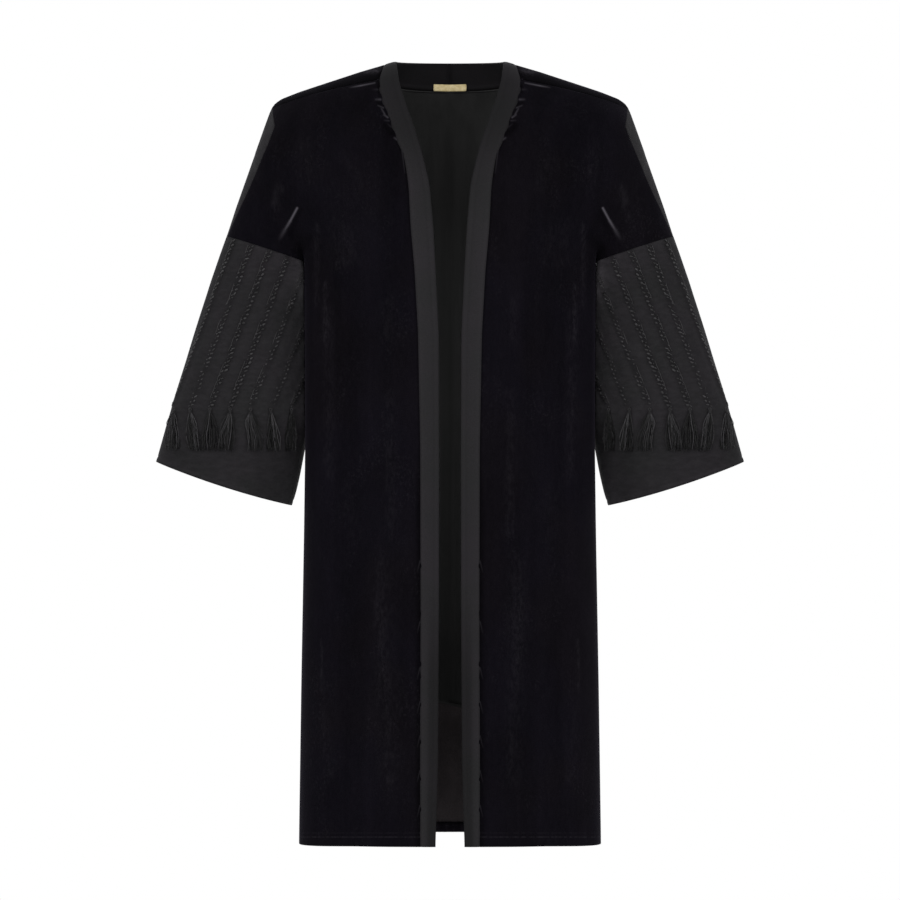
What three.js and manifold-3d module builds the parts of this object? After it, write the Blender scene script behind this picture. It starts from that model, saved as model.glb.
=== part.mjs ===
// Open-front abaya with braided sleeves, in the form it takes when it is worn
//
// Millimetres, +Z up, +X towards the wearer's left, -Y towards the front.
// The origin lies between the shoulders, where the wearer holds the garment up.

import * as THREE from 'three';
import Module from 'manifold-3d';

const wasm = await Module();
wasm.setup();

// Cloth walls and seams
const VELVET_WALL = 2.0;
const CREPE_WALL = 1.6;
const BAND_WALL = 2.4;
const LINING_WALL = 1.0;
const SEAM_GAP = 0.3;
const LINING_AIR = 0.6;

// Body
const ARMPIT_Z = -232;
const ARMPIT_X = 197;
const BODY_CORNER = 2.5;          // exponent of the body's rounded section
const ROLL_NECK = 110;            // height over which the shoulder rounds off, at the neck
const ROLL_TIP = 60;              // the same at the shoulder tip
const CHEST_SPREAD = 150;         // height above the armpit over which the chest widens to the arms
const HEM_FRONT = -1011.5;
const HEM_SIDE_DROP = 4.5;
const LINING_HEM = -838;
const HEM_TURN = 13;

// Shoulder seam, which lies forward of the ridge
const SEAM_NECK = { x: 94.5, z: 11 };
const SEAM_TIP = { x: 240, z: -24 };
const BACK_TIP_X = 237.5;
const FRONT_TIP_X = 205;

// Sleeve, which hangs in planes turned by one angle from upright
const SLEEVE_TILT = 21 * Math.PI / 180;
const DROP_SEAM_OUTER_X = 299.7;
const ARM_HALF_WIDTH = 54.7;
const ARM_HALF_DEPTH = 52;
const CUFF_HALF_DEPTH = 58;
const SLEEVE_CORNER = 2.3;
const SLEEVE_FORWARD = 12;        // how far back the sleeve's middle hangs
const SLEEVE_TUCK = 33;           // how far its inner edge tucks in behind the body
const SLEEVE_AIR = 1.0;
const CUFF_INNER = { x: 216, z: -561.6 };
const CUFF_OUTER = { x: 396.2, z: -497 };

// Braid lines and tassels
const BRAID_PITCH = 25.2;
const BRAID_MIDDLE = 121;
const BRAID_FIRST = -3;
const BRAID_LAST = 3;
const BRAID_HALF_WIDTH = 3.6;
const BRAID_HEIGHT = 1.3;
const BRAID_END_Z = -429;
const TASSEL_LENGTH = 59;
const TASSEL_STRANDS = 7;
const TASSEL_SPREAD = 7.0;        // half width over which the strands' ends spread
const TASSEL_DEPTH = 3.2;         // distance between the two rows of strands at their ends
const TASSEL_HEAD = { top: 1.6, radius: 3.0, height: 9, sides: 6 };
const TASSEL_EDGE = 5;            // least distance of a tassel from the sleeve's outer edge
const STRAND = { root: 0.65, tip: 0.95, sides: 3, overlap: 2, unevenness: 0.35 };
const TASSEL_AIR = 0.25;

// Label
const LABEL = { width: 45, height: 9.5, wall: 0.8 };
const LABEL_LIFT = 0.2;

// Half width and half depth of the body at each height
const BODY = [
  { z: 70, width: 197, depth: 68 },
  { z: 0, width: 197, depth: 76 },
  { z: -60, width: 197, depth: 88 },
  { z: -120, width: 197, depth: 98 },
  { z: -180, width: 197, depth: 104 },
  { z: -232, width: 197, depth: 105 },
  { z: -320, width: 196, depth: 102 },
  { z: -480, width: 195.4, depth: 98 },
  { z: -600, width: 197, depth: 97 },
  { z: -800, width: 200.6, depth: 99 },
  { z: -1020, width: 203.8, depth: 101 },
];

// Shoulder ridge, carried on over the neck
const RIDGE = [
  { x: 0, z: 58 }, { x: 73, z: 38.5 }, { x: 89, z: 33.8 }, { x: 121.5, z: 24.3 }, { x: 162, z: 10.8 },
  { x: 202.5, z: -2.7 }, { x: 226.8, z: -12 }, { x: 235, z: -17.5 }, { x: 239, z: -21.6 }, { x: 243, z: -29.7 },
];

// Outer edge of the arm and sleeve, and inner edge of the sleeve below the armpit
const ARM_EDGE = [
  { z: -21.6, outer: 239 }, { z: -29.7, outer: 243 }, { z: -46, outer: 248.8 }, { z: -94.5, outer: 265.8 },
  { z: -159, outer: 288.6 }, { z: -193, outer: 299.7 }, { z: -256.5, outer: 322.4 }, { z: -321, outer: 343.3 },
  { z: -386, outer: 363.8 }, { z: -451, outer: 383.3 }, { z: -497, outer: 396.2 }, { z: -560, outer: 413 },
];
const SLEEVE_INNER = [
  { z: -200, inner: 205 }, { z: -232, inner: 197 }, { z: -262, inner: 190 }, { z: -300, inner: 187.5 },
  { z: -440, inner: 187.5 }, { z: -482, inner: 196 }, { z: -520, inner: 201 }, { z: -547, inner: 208 },
  { z: -561.6, inner: 216 }, { z: -600, inner: 232 },
];

// Front band: its seam with the velvet and its free edge, from the neck to the hem
const BAND_EDGES = [
  { z: 30, seam: 90.5, free: 73 },
  { z: 11, seam: 94.5, free: 69 },
  { z: -9, seam: 93, free: 64 },
  { z: -30, seam: 86, free: 57 },
  { z: -50, seam: 78, free: 50 },
  { z: -74, seam: 70, free: 42 },
  { z: -96, seam: 60, free: 36 },
  { z: -135, seam: 54, free: 28.5 },
  { z: -190, seam: 50.5, free: 24 },
  { z: -250, seam: 45, free: 20 },
  { z: -330, seam: 41.5, free: 16.5 },
  { z: -480, seam: 39.5, free: 16 },
  { z: -700, seam: 39.5, free: 16.5 },
  { z: -900, seam: 39.5, free: 18 },
  { z: -1013, seam: 39, free: 21 },
];

// Soft upright folds of the velvet
const FOLDS = [
  { x: 152, z: -330, width: 17, height: 110, rise: 3.5 },
  { x: 84, z: -640, width: 20, height: 330, rise: 4 },
  { x: 128, z: -790, width: 18, height: 240, rise: -3.5 },
  { x: 172, z: -720, width: 16, height: 300, rise: 3 },
  { x: 112, z: -420, width: 19, height: 170, rise: -3 },
  { x: 68, z: -230, width: 16, height: 120, rise: -2.5 },
];

// Width of the crepe strip that shows on the front of the upper arm
const STRIP = [
  { fall: 0, width: 1 }, { fall: 0.17, width: 17 }, { fall: 0.3, width: 16 }, { fall: 0.7, width: 9 },
  { fall: 1, width: 1.5 },
];

// Rows and columns of the cloth grids
const ROWS_ABOVE = 9;
const ROWS_BELOW = 12;
const LINING_ROW = 9;             // row below the armpit at which the lining ends
const ROWS_LAP = 2;
const COLUMNS_FRONT = 9;
const COLUMNS_ARM = 7;
const COLUMNS_STRIP = 2;
const COLUMNS_NECK = 5;
const COLUMNS_BACK = 7;
const BAND_COLUMNS = 3;
const SLEEVE_ROWS = 5;
const CUFF_ROWS = 3;
const EDGE_STEPS = [0, 1.2, 5, 13];

// Neck: the seam falls behind, and the band stands up from it
const NECK_SIDE = { x: 89, z: 33.8 };
const NECK_BACK_SEAM_Z = 5;
const NECK_SIDE_FREE = { x: 73, z: 38.5 };
const NECK_BACK_FREE = { y: 60, z: 42 };

const mix = (a, b, t) => a + (b - a) * t;
const clamp = (v, low, high) => Math.min(Math.max(v, low), high);
const smooth = (t) => { const c = clamp(t, 0, 1); return c * c * (3 - 2 * c); };

// Value of a table's column at a key, by straight steps between its rows
function look(table, key, column, at) {
  const rising = table[1][key] > table[0][key];
  let k = 0;
  while (k < table.length - 2 && (rising ? at > table[k + 1][key] : at < table[k + 1][key])) k += 1;
  const t = (at - table[k][key]) / (table[k + 1][key] - table[k][key]);
  return mix(table[k][column], table[k + 1][column], clamp(t, 0, 1));
}

// Smoothed value of a table's column: the mean of five places close together
function soft(table, key, column, at, reach) {
  let sum = 0;
  for (const step of [-1, -0.5, 0, 0.5, 1]) sum += look(table, key, column, at + step * reach);
  return sum / 5;
}

const bodyWidth = (z) => soft(BODY, 'z', 'width', z, 25);
const bodyDepth = (z) => soft(BODY, 'z', 'depth', z, 25);
const ridgeZ = (x) => soft(RIDGE, 'x', 'z', Math.abs(x), 2);
const armEdge = (z) => soft(ARM_EDGE, 'z', 'outer', z, 4);
const sleeveInner = (z) => soft(SLEEVE_INNER, 'z', 'inner', z, 8);
const bandEdge = (column, z) => soft(BAND_EDGES, 'z', column, z, 10);

// Half width of the body's section at a distance in front of or behind its middle
function bodyReach(y, z) {
  const share = clamp(Math.abs(y) / bodyDepth(z), 0, 1);
  return bodyWidth(z) * Math.pow(1 - Math.pow(share, BODY_CORNER), 1 / BODY_CORNER);
}

// Place in the sleeve's own plane: across it and along it
const across = (x, z) => x * Math.cos(SLEEVE_TILT) + z * Math.sin(SLEEVE_TILT);
const along = (x, z) => x * Math.sin(SLEEVE_TILT) - z * Math.cos(SLEEVE_TILT);
const sleeveX = (w, l) => w * Math.cos(SLEEVE_TILT) + l * Math.sin(SLEEVE_TILT);
const sleeveZ = (w, l) => w * Math.sin(SLEEVE_TILT) - l * Math.cos(SLEEVE_TILT);
const DROP_L = along(ARMPIT_X, ARMPIT_Z);
const DROP_SEAM_OUTER = {
  x: DROP_SEAM_OUTER_X,
  z: (DROP_SEAM_OUTER_X * Math.sin(SLEEVE_TILT) - DROP_L) / Math.cos(SLEEVE_TILT),
};
const TIP_L = along(SEAM_TIP.x, SEAM_TIP.z);

// Depth of the torso alone
function torsoDepth(x, z) {
  const spread = smooth((z - ARMPIT_Z) / CHEST_SPREAD);
  const width = mix(bodyWidth(z), armEdge(z), spread);
  const share = clamp(Math.abs(x) / width, 0, 1);
  return bodyDepth(z) * Math.pow(1 - Math.pow(share, BODY_CORNER), 1 / BODY_CORNER);
}

// Depth of the upper arm alone
function armDepth(x, z) {
  const w = across(Math.abs(x), z);
  const l = along(Math.abs(x), z);
  const outer = across(armEdge(z), z);
  const rise = clamp((DROP_L - l) / (DROP_L - TIP_L), 0, 1);
  const middle = outer - ARM_HALF_WIDTH;
  const inward = ARM_HALF_WIDTH * (1 + 3 * rise * rise);
  const share = w < middle ? (middle - w) / inward : (w - middle) / ARM_HALF_WIDTH;
  return ARM_HALF_DEPTH * Math.sqrt(Math.max(1 - share * share, 0));
}

function foldHeight(x, z) {
  let sum = 0;
  for (const fold of FOLDS) {
    const side = (Math.abs(x) - fold.x) / fold.width;
    const up = (z - fold.z) / fold.height;
    sum += fold.rise * Math.exp(-side * side - up * up * up * up);
  }
  return sum;
}

// How far the cloth stands from the middle plane, in front or behind
function depth(x, z) {
  const fall = ridgeZ(x) - z;
  const roll = mix(ROLL_NECK, ROLL_TIP, smooth((Math.abs(x) - 120) / 100));
  const part = clamp(fall / roll, 0, 1);
  const round = Math.sqrt(1 - (1 - part) * (1 - part));
  const torso = torsoDepth(x, z);
  const arm = z > ARMPIT_Z ? armDepth(x, z) : 0;
  const full = Math.pow(Math.pow(torso, 4) + Math.pow(arm, 4), 0.25);
  return round * full + foldHeight(x, z) * smooth(full / 60) * smooth(fall / 90);
}

const ACROSS = new THREE.Vector3(1, 0, 0);
const FORWARD = new THREE.Vector3(0, 1, 0);
const SLEEVE_AXIS = new THREE.Vector3(Math.sin(SLEEVE_TILT), 0, -Math.cos(SLEEVE_TILT));

// Place on the front (face -1) or back (face +1) of the body and upper arm, with the direction it faces
function onBody(x, z, face, shift = SEAM_GAP / 2) {
  const step = 3;
  const slopeX = (depth(x + step, z) - depth(x - step, z)) / (2 * step);
  const slopeZ = (depth(x, z + step) - depth(x, z - step)) / (2 * step);
  return [x, face * (depth(x, z) + shift), z, new THREE.Vector3(-slopeX, face, -slopeZ)];
}

// Closed shell from a grid of outer points, with each kept cell as two outer and two inner triangles.
// A layer under another piece takes that piece's grid, sunk along its normals, and only some of its cells.
// A point may bring its own normal; level gives a direction that the wall must not lean to at a seam.
function shell({
  rows, columns, point, wall, keep = () => true, part = () => true, level = () => null, sink = 0, ring = false,
  turned = false,
}) {
  const spots = [];
  const given = [];
  const levels = [];
  const index = new Map();
  const grid = [];
  for (let i = 0; i <= rows; i += 1) {
    grid.push([]);
    for (let j = 0; j < (ring ? columns : columns + 1); j += 1) {
      const spot = point(i, j);
      if (!spot) {
        grid[i].push(-1);
        continue;
      }
      const [x, y, z, normal] = spot;
      const key = [x, y, z].map((v) => Math.round(v * 1e3)).join();
      if (!index.has(key)) {
        index.set(key, spots.length);
        spots.push(new THREE.Vector3(x, y, z));
        given.push(normal);
        levels.push(level(i, j));
      }
      grid[i].push(index.get(key));
    }
  }
  const faces = [];
  const unused = [];
  for (let i = 0; i < rows; i += 1) {
    for (let j = 0; j < columns; j += 1) {
      if (!keep(i, j)) continue;
      const next = ring ? (j + 1) % columns : j + 1;
      const corners = [grid[i][j], grid[i + 1][j], grid[i + 1][next], grid[i][next]];
      if (turned) corners.reverse();
      const unlike = corners.filter((v, n) => v !== corners[(n + 1) % 4]);
      const list = part(i, j) ? faces : unused;
      if (unlike.length === 4) {
        list.push([unlike[0], unlike[1], unlike[2]], [unlike[0], unlike[2], unlike[3]]);
      } else if (unlike.length === 3) {
        list.push(unlike);
      }
    }
  }
  const normals = spots.map(() => new THREE.Vector3());
  const edges = new Map();
  for (const face of [...faces, ...unused]) {
    const [a, b, c] = face.map((v) => spots[v]);
    const normal = b.clone().sub(a).cross(c.clone().sub(a));
    for (const v of face) normals[v].add(normal);
  }
  for (const face of faces) {
    for (let n = 0; n < 3; n += 1) edges.set(`${face[n]},${face[(n + 1) % 3]}`, [face[n], face[(n + 1) % 3]]);
  }
  const count = spots.length;
  normals.forEach((normal, n) => {
    if (given[n]) normal.copy(given[n]);
    if (levels[n]) normal.addScaledVector(levels[n], -normal.dot(levels[n]));
    normal.normalize();
  });
  const outer = spots.map((spot, n) => spot.clone().addScaledVector(normals[n], -sink));
  const inner = spots.map((spot, n) => spot.clone().addScaledVector(normals[n], -sink - wall));
  const triangles = [];
  for (const [a, b, c] of faces) {
    triangles.push([a, b, c], [a + count, c + count, b + count]);
  }
  for (const [a, b] of edges.values()) {
    if (edges.has(`${b},${a}`)) continue;
    triangles.push([b, a, a + count], [b, a + count, b + count]);
  }
  return { points: [...outer, ...inner], triangles };
}

function geometryOf({ points, triangles }, mirrored) {
  const positions = [];
  const used = new Map();
  const order = [];
  const place = (v) => {
    if (!used.has(v)) {
      used.set(v, used.size);
      positions.push(mirrored ? -points[v].x : points[v].x, points[v].y, points[v].z);
    }
    return used.get(v);
  };
  for (const [a, b, c] of triangles) order.push(place(a), place(mirrored ? c : b), place(mirrored ? b : c));
  const geometry = new THREE.BufferGeometry();
  geometry.setAttribute('position', new THREE.Float32BufferAttribute(positions, 3));
  geometry.setIndex(order);
  return geometry;
}

// Front panel: body and upper sleeve cut in one, from the band's seam to the strip on the arm
function seamLine(x) {
  const t = (x - SEAM_NECK.x) / (SEAM_TIP.x - SEAM_NECK.x);
  return mix(SEAM_NECK.z, SEAM_TIP.z, t) + 3 * Math.sin(Math.PI * clamp(t, 0, 1));
}

const hemZ = (x) => HEM_FRONT - HEM_SIDE_DROP * Math.pow(Math.abs(x) / bodyWidth(HEM_FRONT), 4);
const fallOf = (i) => Math.pow(i / ROWS_ABOVE, 1.25);

// Share of the way from the armpit to the hem at a lower row: one lies at the lining's edge, one at the hem's turn
function fallBelow(row) {
  const lining = (LINING_HEM - ARMPIT_Z) / (HEM_FRONT - ARMPIT_Z);
  const turn = (HEM_FRONT + HEM_TURN - ARMPIT_Z) / (HEM_FRONT - ARMPIT_Z);
  if (row <= LINING_ROW) return lining * row / LINING_ROW;
  if (row === ROWS_BELOW) return 1;
  return mix(lining, turn, (row - LINING_ROW) / (ROWS_BELOW - 1 - LINING_ROW));
}
const edgeCrowd = (t) => Math.sin(t * Math.PI / 2);
const bothCrowd = (t) => (1 - Math.cos(t * Math.PI)) / 2;

// Place below the armpit at a share of the way out from an inner edge; all the way out is the side seam
function lowerSpot(innerAt, share, fall, face) {
  let z = mix(ARMPIT_Z, HEM_FRONT, fall);
  let x = 0;
  for (let n = 0; n < 4; n += 1) {
    x = mix(innerAt(z), bodyWidth(z), share);
    z = mix(ARMPIT_Z, hemZ(x), fall);
  }
  const spot = onBody(x, z, face);
  if (share === 1) spot[1] = face * SEAM_GAP / 2;
  return spot;
}

// Ends of an upper row: on the arm hole line and on the arm's outer edge
function rowEnds(fall, tipX, tipZ) {
  const outerZ = mix(SEAM_TIP.z, DROP_SEAM_OUTER.z, fall);
  return {
    pit: { x: mix(tipX, ARMPIT_X, fall), z: mix(tipZ, ARMPIT_Z, fall) },
    outer: { x: armEdge(outerZ), z: outerZ },
  };
}

function stripStart(fall, ends) {
  const length = Math.hypot(ends.outer.x - ends.pit.x, ends.outer.z - ends.pit.z);
  return 1 - look(STRIP, 'fall', 'width', fall) / length;
}

function frontPoint(i, j) {
  const above = i <= ROWS_ABOVE;
  if (!above && j > COLUMNS_FRONT) return null;
  if (above) {
    const fall = fallOf(i);
    const ends = rowEnds(fall, FRONT_TIP_X, seamLine(FRONT_TIP_X));
    if (j <= COLUMNS_FRONT) {
      const seamZ = mix(SEAM_NECK.z, ARMPIT_Z, fall);
      const t = edgeCrowd(j / COLUMNS_FRONT);
      const x = mix(bandEdge('seam', seamZ), ends.pit.x, t);
      const z = fall === 0 ? seamLine(x) : mix(seamZ, ends.pit.z, t);
      return onBody(x, z, -1);
    }
    const t = bothCrowd((j - COLUMNS_FRONT) / COLUMNS_ARM) * stripStart(fall, ends);
    const x = mix(ends.pit.x, ends.outer.x, t);
    const z = mix(ends.pit.z, ends.outer.z, t);
    return onBody(x, z, -1);
  }
  const fall = fallBelow(i - ROWS_ABOVE);
  return lowerSpot((z) => bandEdge('seam', z), edgeCrowd(j / COLUMNS_FRONT), fall, -1);
}

function frontPanel() {
  return shell({
    rows: ROWS_ABOVE + ROWS_BELOW,
    columns: COLUMNS_FRONT + COLUMNS_ARM,
    point: frontPoint,
    wall: VELVET_WALL,
    keep: (i, j) => i < ROWS_ABOVE || j < COLUMNS_FRONT,
    level: (i, j) => {
      if (i === ROWS_ABOVE && j > COLUMNS_FRONT) return SLEEVE_AXIS;
      return i >= ROWS_ABOVE && j === COLUMNS_FRONT ? FORWARD : null;
    },
  });
}

// Back panel: whole width, lapping over the shoulder ridge to the forward seam
function neckSeam(turn) {
  const x = NECK_SIDE.x * Math.cos(turn);
  const z = mix(NECK_SIDE.z, NECK_BACK_SEAM_Z, Math.pow(Math.sin(turn), 1.3));
  return { x, z };
}

function backTop(j) {
  if (j < COLUMNS_NECK) return neckSeam((1 - j / COLUMNS_NECK) * Math.PI / 2);
  const x = mix(NECK_SIDE.x, BACK_TIP_X, edgeCrowd((j - COLUMNS_NECK) / COLUMNS_BACK));
  return { x, z: ridgeZ(x) };
}

function faceSide([x, y, z, normal], side) {
  normal.x *= side;
  return [side * x, y, z, normal];
}

function backPoint(i, half) {
  const j = Math.abs(half);
  const side = Math.sign(half) || 1;
  const count = COLUMNS_NECK + COLUMNS_BACK;
  const top = backTop(j);
  if (i < ROWS_LAP) {
    if (j < COLUMNS_NECK) return null;
    const share = (j - COLUMNS_NECK) / COLUMNS_BACK;
    const seamX = mix(SEAM_NECK.x, BACK_TIP_X + 1, edgeCrowd(share));
    const seam = { x: seamX, z: seamLine(seamX) + 2 * SEAM_GAP };
    const up = i / ROWS_LAP;
    const x = mix(seam.x, top.x, up);
    const z = mix(seam.z, top.z, up);
    return faceSide(onBody(x, z, -1), side);
  }
  const row = i - ROWS_LAP;
  const share = edgeCrowd(j / count);
  if (row <= ROWS_ABOVE) {
    const fall = fallOf(row);
    const x = mix(top.x, share * ARMPIT_X, fall);
    const z = mix(top.z, ARMPIT_Z, fall);
    return faceSide(onBody(x, z, 1, row === 0 && j >= COLUMNS_NECK ? 0 : SEAM_GAP / 2), side);
  }
  const fall = fallBelow(row - ROWS_ABOVE);
  return faceSide(lowerSpot(() => 0, share, fall, 1), side);
}

const BACK_HALF = COLUMNS_NECK + COLUMNS_BACK;
const BACK_ROWS = ROWS_LAP + ROWS_ABOVE + ROWS_BELOW;
const BACK_GRID = {
  rows: BACK_ROWS,
  columns: 2 * BACK_HALF,
  point: (i, j) => backPoint(i, j - BACK_HALF),
  keep: (i, j) => i >= ROWS_LAP || j < BACK_HALF - COLUMNS_NECK || j >= BACK_HALF + COLUMNS_NECK,
  level: (i, j) => {
    if (i === ROWS_LAP && Math.abs(j - BACK_HALF) >= COLUMNS_NECK) return FORWARD;
    return i >= ROWS_LAP + ROWS_ABOVE && Math.abs(j - BACK_HALF) === BACK_HALF ? FORWARD : null;
  },
  turned: true,
};

function backPanel() {
  return shell({ ...BACK_GRID, wall: VELVET_WALL });
}

// Distance of a column of cells from the middle of the back, in columns
const columnsOut = (j) => (j < BACK_HALF ? BACK_HALF - 1 - j : j - BACK_HALF);

// Lining of the back, from the neck seam to a hem well above the panel's own
function backLining() {
  const last = ROWS_LAP + ROWS_ABOVE + LINING_ROW;
  return shell({
    ...BACK_GRID,
    part: (i, j) => {
      const first = columnsOut(j) < COLUMNS_NECK - 1 ? ROWS_LAP : ROWS_LAP + 1;
      return i >= first && i < last && columnsOut(j) < BACK_HALF - 1;
    },
    sink: VELVET_WALL + LINING_AIR,
    wall: LINING_WALL,
  });
}

// Turned-up hem of the back, on the inside of its panel
function backHemTurn() {
  return shell({
    ...BACK_GRID,
    part: (i, j) => i === BACK_ROWS - 1 && columnsOut(j) < BACK_HALF - 1,
    sink: VELVET_WALL + SEAM_GAP,
    wall: VELVET_WALL,
  });
}

// Band: up the front edge from the hem to the shoulder, then round to the middle of the back neck.
// Its rows are those of the panels that it joins.
const BAND_ROWS_FRONT = ROWS_ABOVE + ROWS_BELOW;
const BAND_SHOULDER = BAND_ROWS_FRONT + ROWS_LAP;
const BAND_ROWS = BAND_SHOULDER + COLUMNS_NECK;

function bandNeckSpot(turn, share) {
  const below = neckSeam(turn);
  const seamX = below.x - SEAM_GAP * Math.cos(turn);
  const freeX = NECK_SIDE_FREE.x * Math.cos(turn);
  const freeY = NECK_BACK_FREE.y * Math.sin(turn);
  const freeZ = mix(NECK_SIDE_FREE.z, NECK_BACK_FREE.z, Math.sin(turn));
  const seamY = turn === 0 ? 0 : depth(below.x, below.z);
  return [mix(seamX, freeX, share), mix(seamY, freeY, share), mix(below.z + 2 * SEAM_GAP, freeZ, share)];
}

function bandPoint(i, j) {
  const share = j / BAND_COLUMNS;
  if (i <= BAND_ROWS_FRONT) {
    const row = BAND_ROWS_FRONT - i;
    const above = mix(SEAM_NECK.z, ARMPIT_Z, fallOf(row));
    const z = row <= ROWS_ABOVE ? above : mix(ARMPIT_Z, HEM_FRONT, fallBelow(row - ROWS_ABOVE));
    return onBody(mix(bandEdge('seam', z) - SEAM_GAP, bandEdge('free', z), share), z, -1);
  }
  if (i < BAND_SHOULDER) {
    const up = (i - BAND_ROWS_FRONT) / ROWS_LAP;
    const seam = { x: mix(SEAM_NECK.x, NECK_SIDE.x, up) - SEAM_GAP, z: mix(SEAM_NECK.z, NECK_SIDE.z, up) };
    const free = { x: mix(bandEdge('free', SEAM_NECK.z), NECK_SIDE_FREE.x, up), z: mix(SEAM_NECK.z, NECK_SIDE_FREE.z, up) };
    return onBody(mix(seam.x, free.x, share), mix(seam.z, free.z, share), -1);
  }
  const turn = (i - BAND_SHOULDER) / COLUMNS_NECK * Math.PI / 2;
  const [x, y, z] = bandNeckSpot(turn, share);
  return [Math.max(x, SEAM_GAP / 2), y, z];
}

function band(neck) {
  return shell({
    rows: BAND_ROWS,
    columns: BAND_COLUMNS,
    point: (i, j) => {
      const spot = bandPoint(i, j);
      if (neck && i === BAND_SHOULDER) spot[1] = SEAM_GAP;
      return spot;
    },
    wall: BAND_WALL,
    part: (i) => (i >= BAND_SHOULDER) === neck,
    level: (i) => {
      if (i === BAND_ROWS) return ACROSS;
      return i === BAND_SHOULDER ? FORWARD : null;
    },
  });
}

// Label on the inner face of the band, at the middle of the back neck
function label() {
  const turnStep = Math.PI / 2 / COLUMNS_NECK;
  const reach = NECK_BACK_FREE.z - NECK_BACK_SEAM_Z;
  return shell({
    rows: 1,
    columns: 2,
    point: (i, j) => {
      const share = (LABEL_LIFT + (1 - i) * LABEL.height) / reach;
      const middle = bandNeckSpot(Math.PI / 2, share);
      const beside = bandNeckSpot(Math.PI / 2 - turnStep, share);
      const t = LABEL.width / 2 / beside[0] * Math.abs(j - 1);
      const y = mix(middle[1], beside[1], t) - BAND_WALL - LINING_AIR - LABEL.wall;
      return [(j - 1) * LABEL.width / 2, y, mix(middle[2], beside[2], t)];
    },
    wall: LABEL.wall,
  });
}

// Back of the upper sleeve: from the strip that shows in front, round the arm, to the arm hole seam
function upperBackPoint(i, j) {
  const fall = fallOf(i);
  if (j <= COLUMNS_STRIP) {
    const ends = rowEnds(fall, FRONT_TIP_X, seamLine(FRONT_TIP_X));
    const length = Math.hypot(ends.outer.x - ends.pit.x, ends.outer.z - ends.pit.z);
    const start = stripStart(fall, ends) + SEAM_GAP / length;
    const t = mix(start, 1, edgeCrowd(j / COLUMNS_STRIP));
    const x = mix(ends.pit.x, ends.outer.x, t);
    const z = mix(ends.pit.z, ends.outer.z, t);
    return onBody(x, z, -1, j === COLUMNS_STRIP ? 0 : SEAM_GAP / 2);
  }
  const ends = rowEnds(fall, BACK_TIP_X, ridgeZ(BACK_TIP_X));
  const inset = 3 * SEAM_GAP / Math.hypot(ends.outer.x - ends.pit.x, ends.outer.z - ends.pit.z);
  const t = mix(1, inset, bothCrowd((j - COLUMNS_STRIP) / COLUMNS_ARM));
  const x = mix(ends.pit.x, ends.outer.x, t);
  return onBody(x, mix(ends.pit.z, ends.outer.z, t), 1);
}

function upperBack() {
  return shell({
    rows: ROWS_ABOVE,
    columns: COLUMNS_STRIP + COLUMNS_ARM,
    point: upperBackPoint,
    wall: CREPE_WALL,
    level: (i, j) => {
      if (i === ROWS_ABOVE) return SLEEVE_AXIS;
      return j === COLUMNS_STRIP ? FORWARD : null;
    },
  });
}

// Lower sleeve: rings turn from the drop seam to the level line of the tassels, and then to the cuff
const tasselL = (w) => (w * Math.sin(SLEEVE_TILT) - BRAID_END_Z) / Math.cos(SLEEVE_TILT);

function cuffL(w) {
  const inner = { w: across(CUFF_INNER.x, CUFF_INNER.z), l: along(CUFF_INNER.x, CUFF_INNER.z) };
  const outer = { w: across(CUFF_OUTER.x, CUFF_OUTER.z), l: along(CUFF_OUTER.x, CUFF_OUTER.z) };
  const t = (w - inner.w) / (outer.w - inner.w);
  return mix(inner.l, outer.l, t) + 3 * Math.sin(Math.PI * clamp(t, 0, 1));
}

function ringL(i, w) {
  const start = DROP_L + SEAM_GAP;
  if (i <= SLEEVE_ROWS) return mix(start, tasselL(w) - 3, i / SLEEVE_ROWS);
  if (i === SLEEVE_ROWS + 1) return tasselL(w);
  return mix(tasselL(w), cuffL(w), (i - SLEEVE_ROWS - 1) / (CUFF_ROWS - 1));
}

// Place across the ring where it meets an edge, by halving
function crossing(lAt, edge, low, high) {
  let [a, b] = [low, high];
  for (let n = 0; n < 40; n += 1) {
    const w = (a + b) / 2;
    const l = lAt(w);
    if (sleeveX(w, l) < edge(sleeveZ(w, l))) a = w;
    else b = w;
  }
  return (a + b) / 2;
}

// Outer surface of the sleeve, in front (face -1) or behind (face +1)
function sleeveSurface(lAt, w, face) {
  const inner = crossing(lAt, sleeveInner, -60, 150);
  const outer = crossing(lAt, armEdge, 140, 280);
  const t = clamp((w - inner) / (outer - inner), 0, 1);
  const l = lAt(w);
  let x = sleeveX(w, l);
  const z = sleeveZ(w, l);
  const fall = clamp((l - DROP_L) / (cuffL(w) - DROP_L), 0, 1);
  const round = Math.pow(1 - Math.pow(Math.abs(2 * t - 1), SLEEVE_CORNER), 1 / SLEEVE_CORNER);
  const middle = SLEEVE_FORWARD * smooth(fall / 0.3) + SLEEVE_TUCK * smooth(fall / 0.22) * Math.pow(1 - t, 3);
  const half = mix(ARM_HALF_DEPTH, CUFF_HALF_DEPTH, fall);
  const dropX = mix(ARMPIT_X, DROP_SEAM_OUTER.x, t);
  const dropZ = mix(ARMPIT_Z, DROP_SEAM_OUTER.z, t);
  const atSeam = face * depth(dropX, dropZ);
  const y = mix(atSeam, middle + face * half * round, smooth(fall / 0.16));
  if (fall > 0) x = Math.max(x, bodyReach(y, z) + SLEEVE_AIR);
  return { x, y, z };
}

// Places across the sleeve of its columns: close together at its edges and at each braid line
function sleeveColumns() {
  const list = EDGE_STEPS.map((step) => ({ from: 'inner', step }));
  for (let k = BRAID_FIRST; k <= BRAID_LAST; k += 1) {
    const middle = BRAID_MIDDLE + k * BRAID_PITCH;
    list.push({ w: middle - BRAID_PITCH / 2 }, { w: middle - BRAID_HALF_WIDTH });
    list.push({ w: middle, raised: true }, { w: middle + BRAID_HALF_WIDTH });
  }
  for (const step of [...EDGE_STEPS].reverse()) list.push({ from: 'outer', step });
  return list;
}

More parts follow.
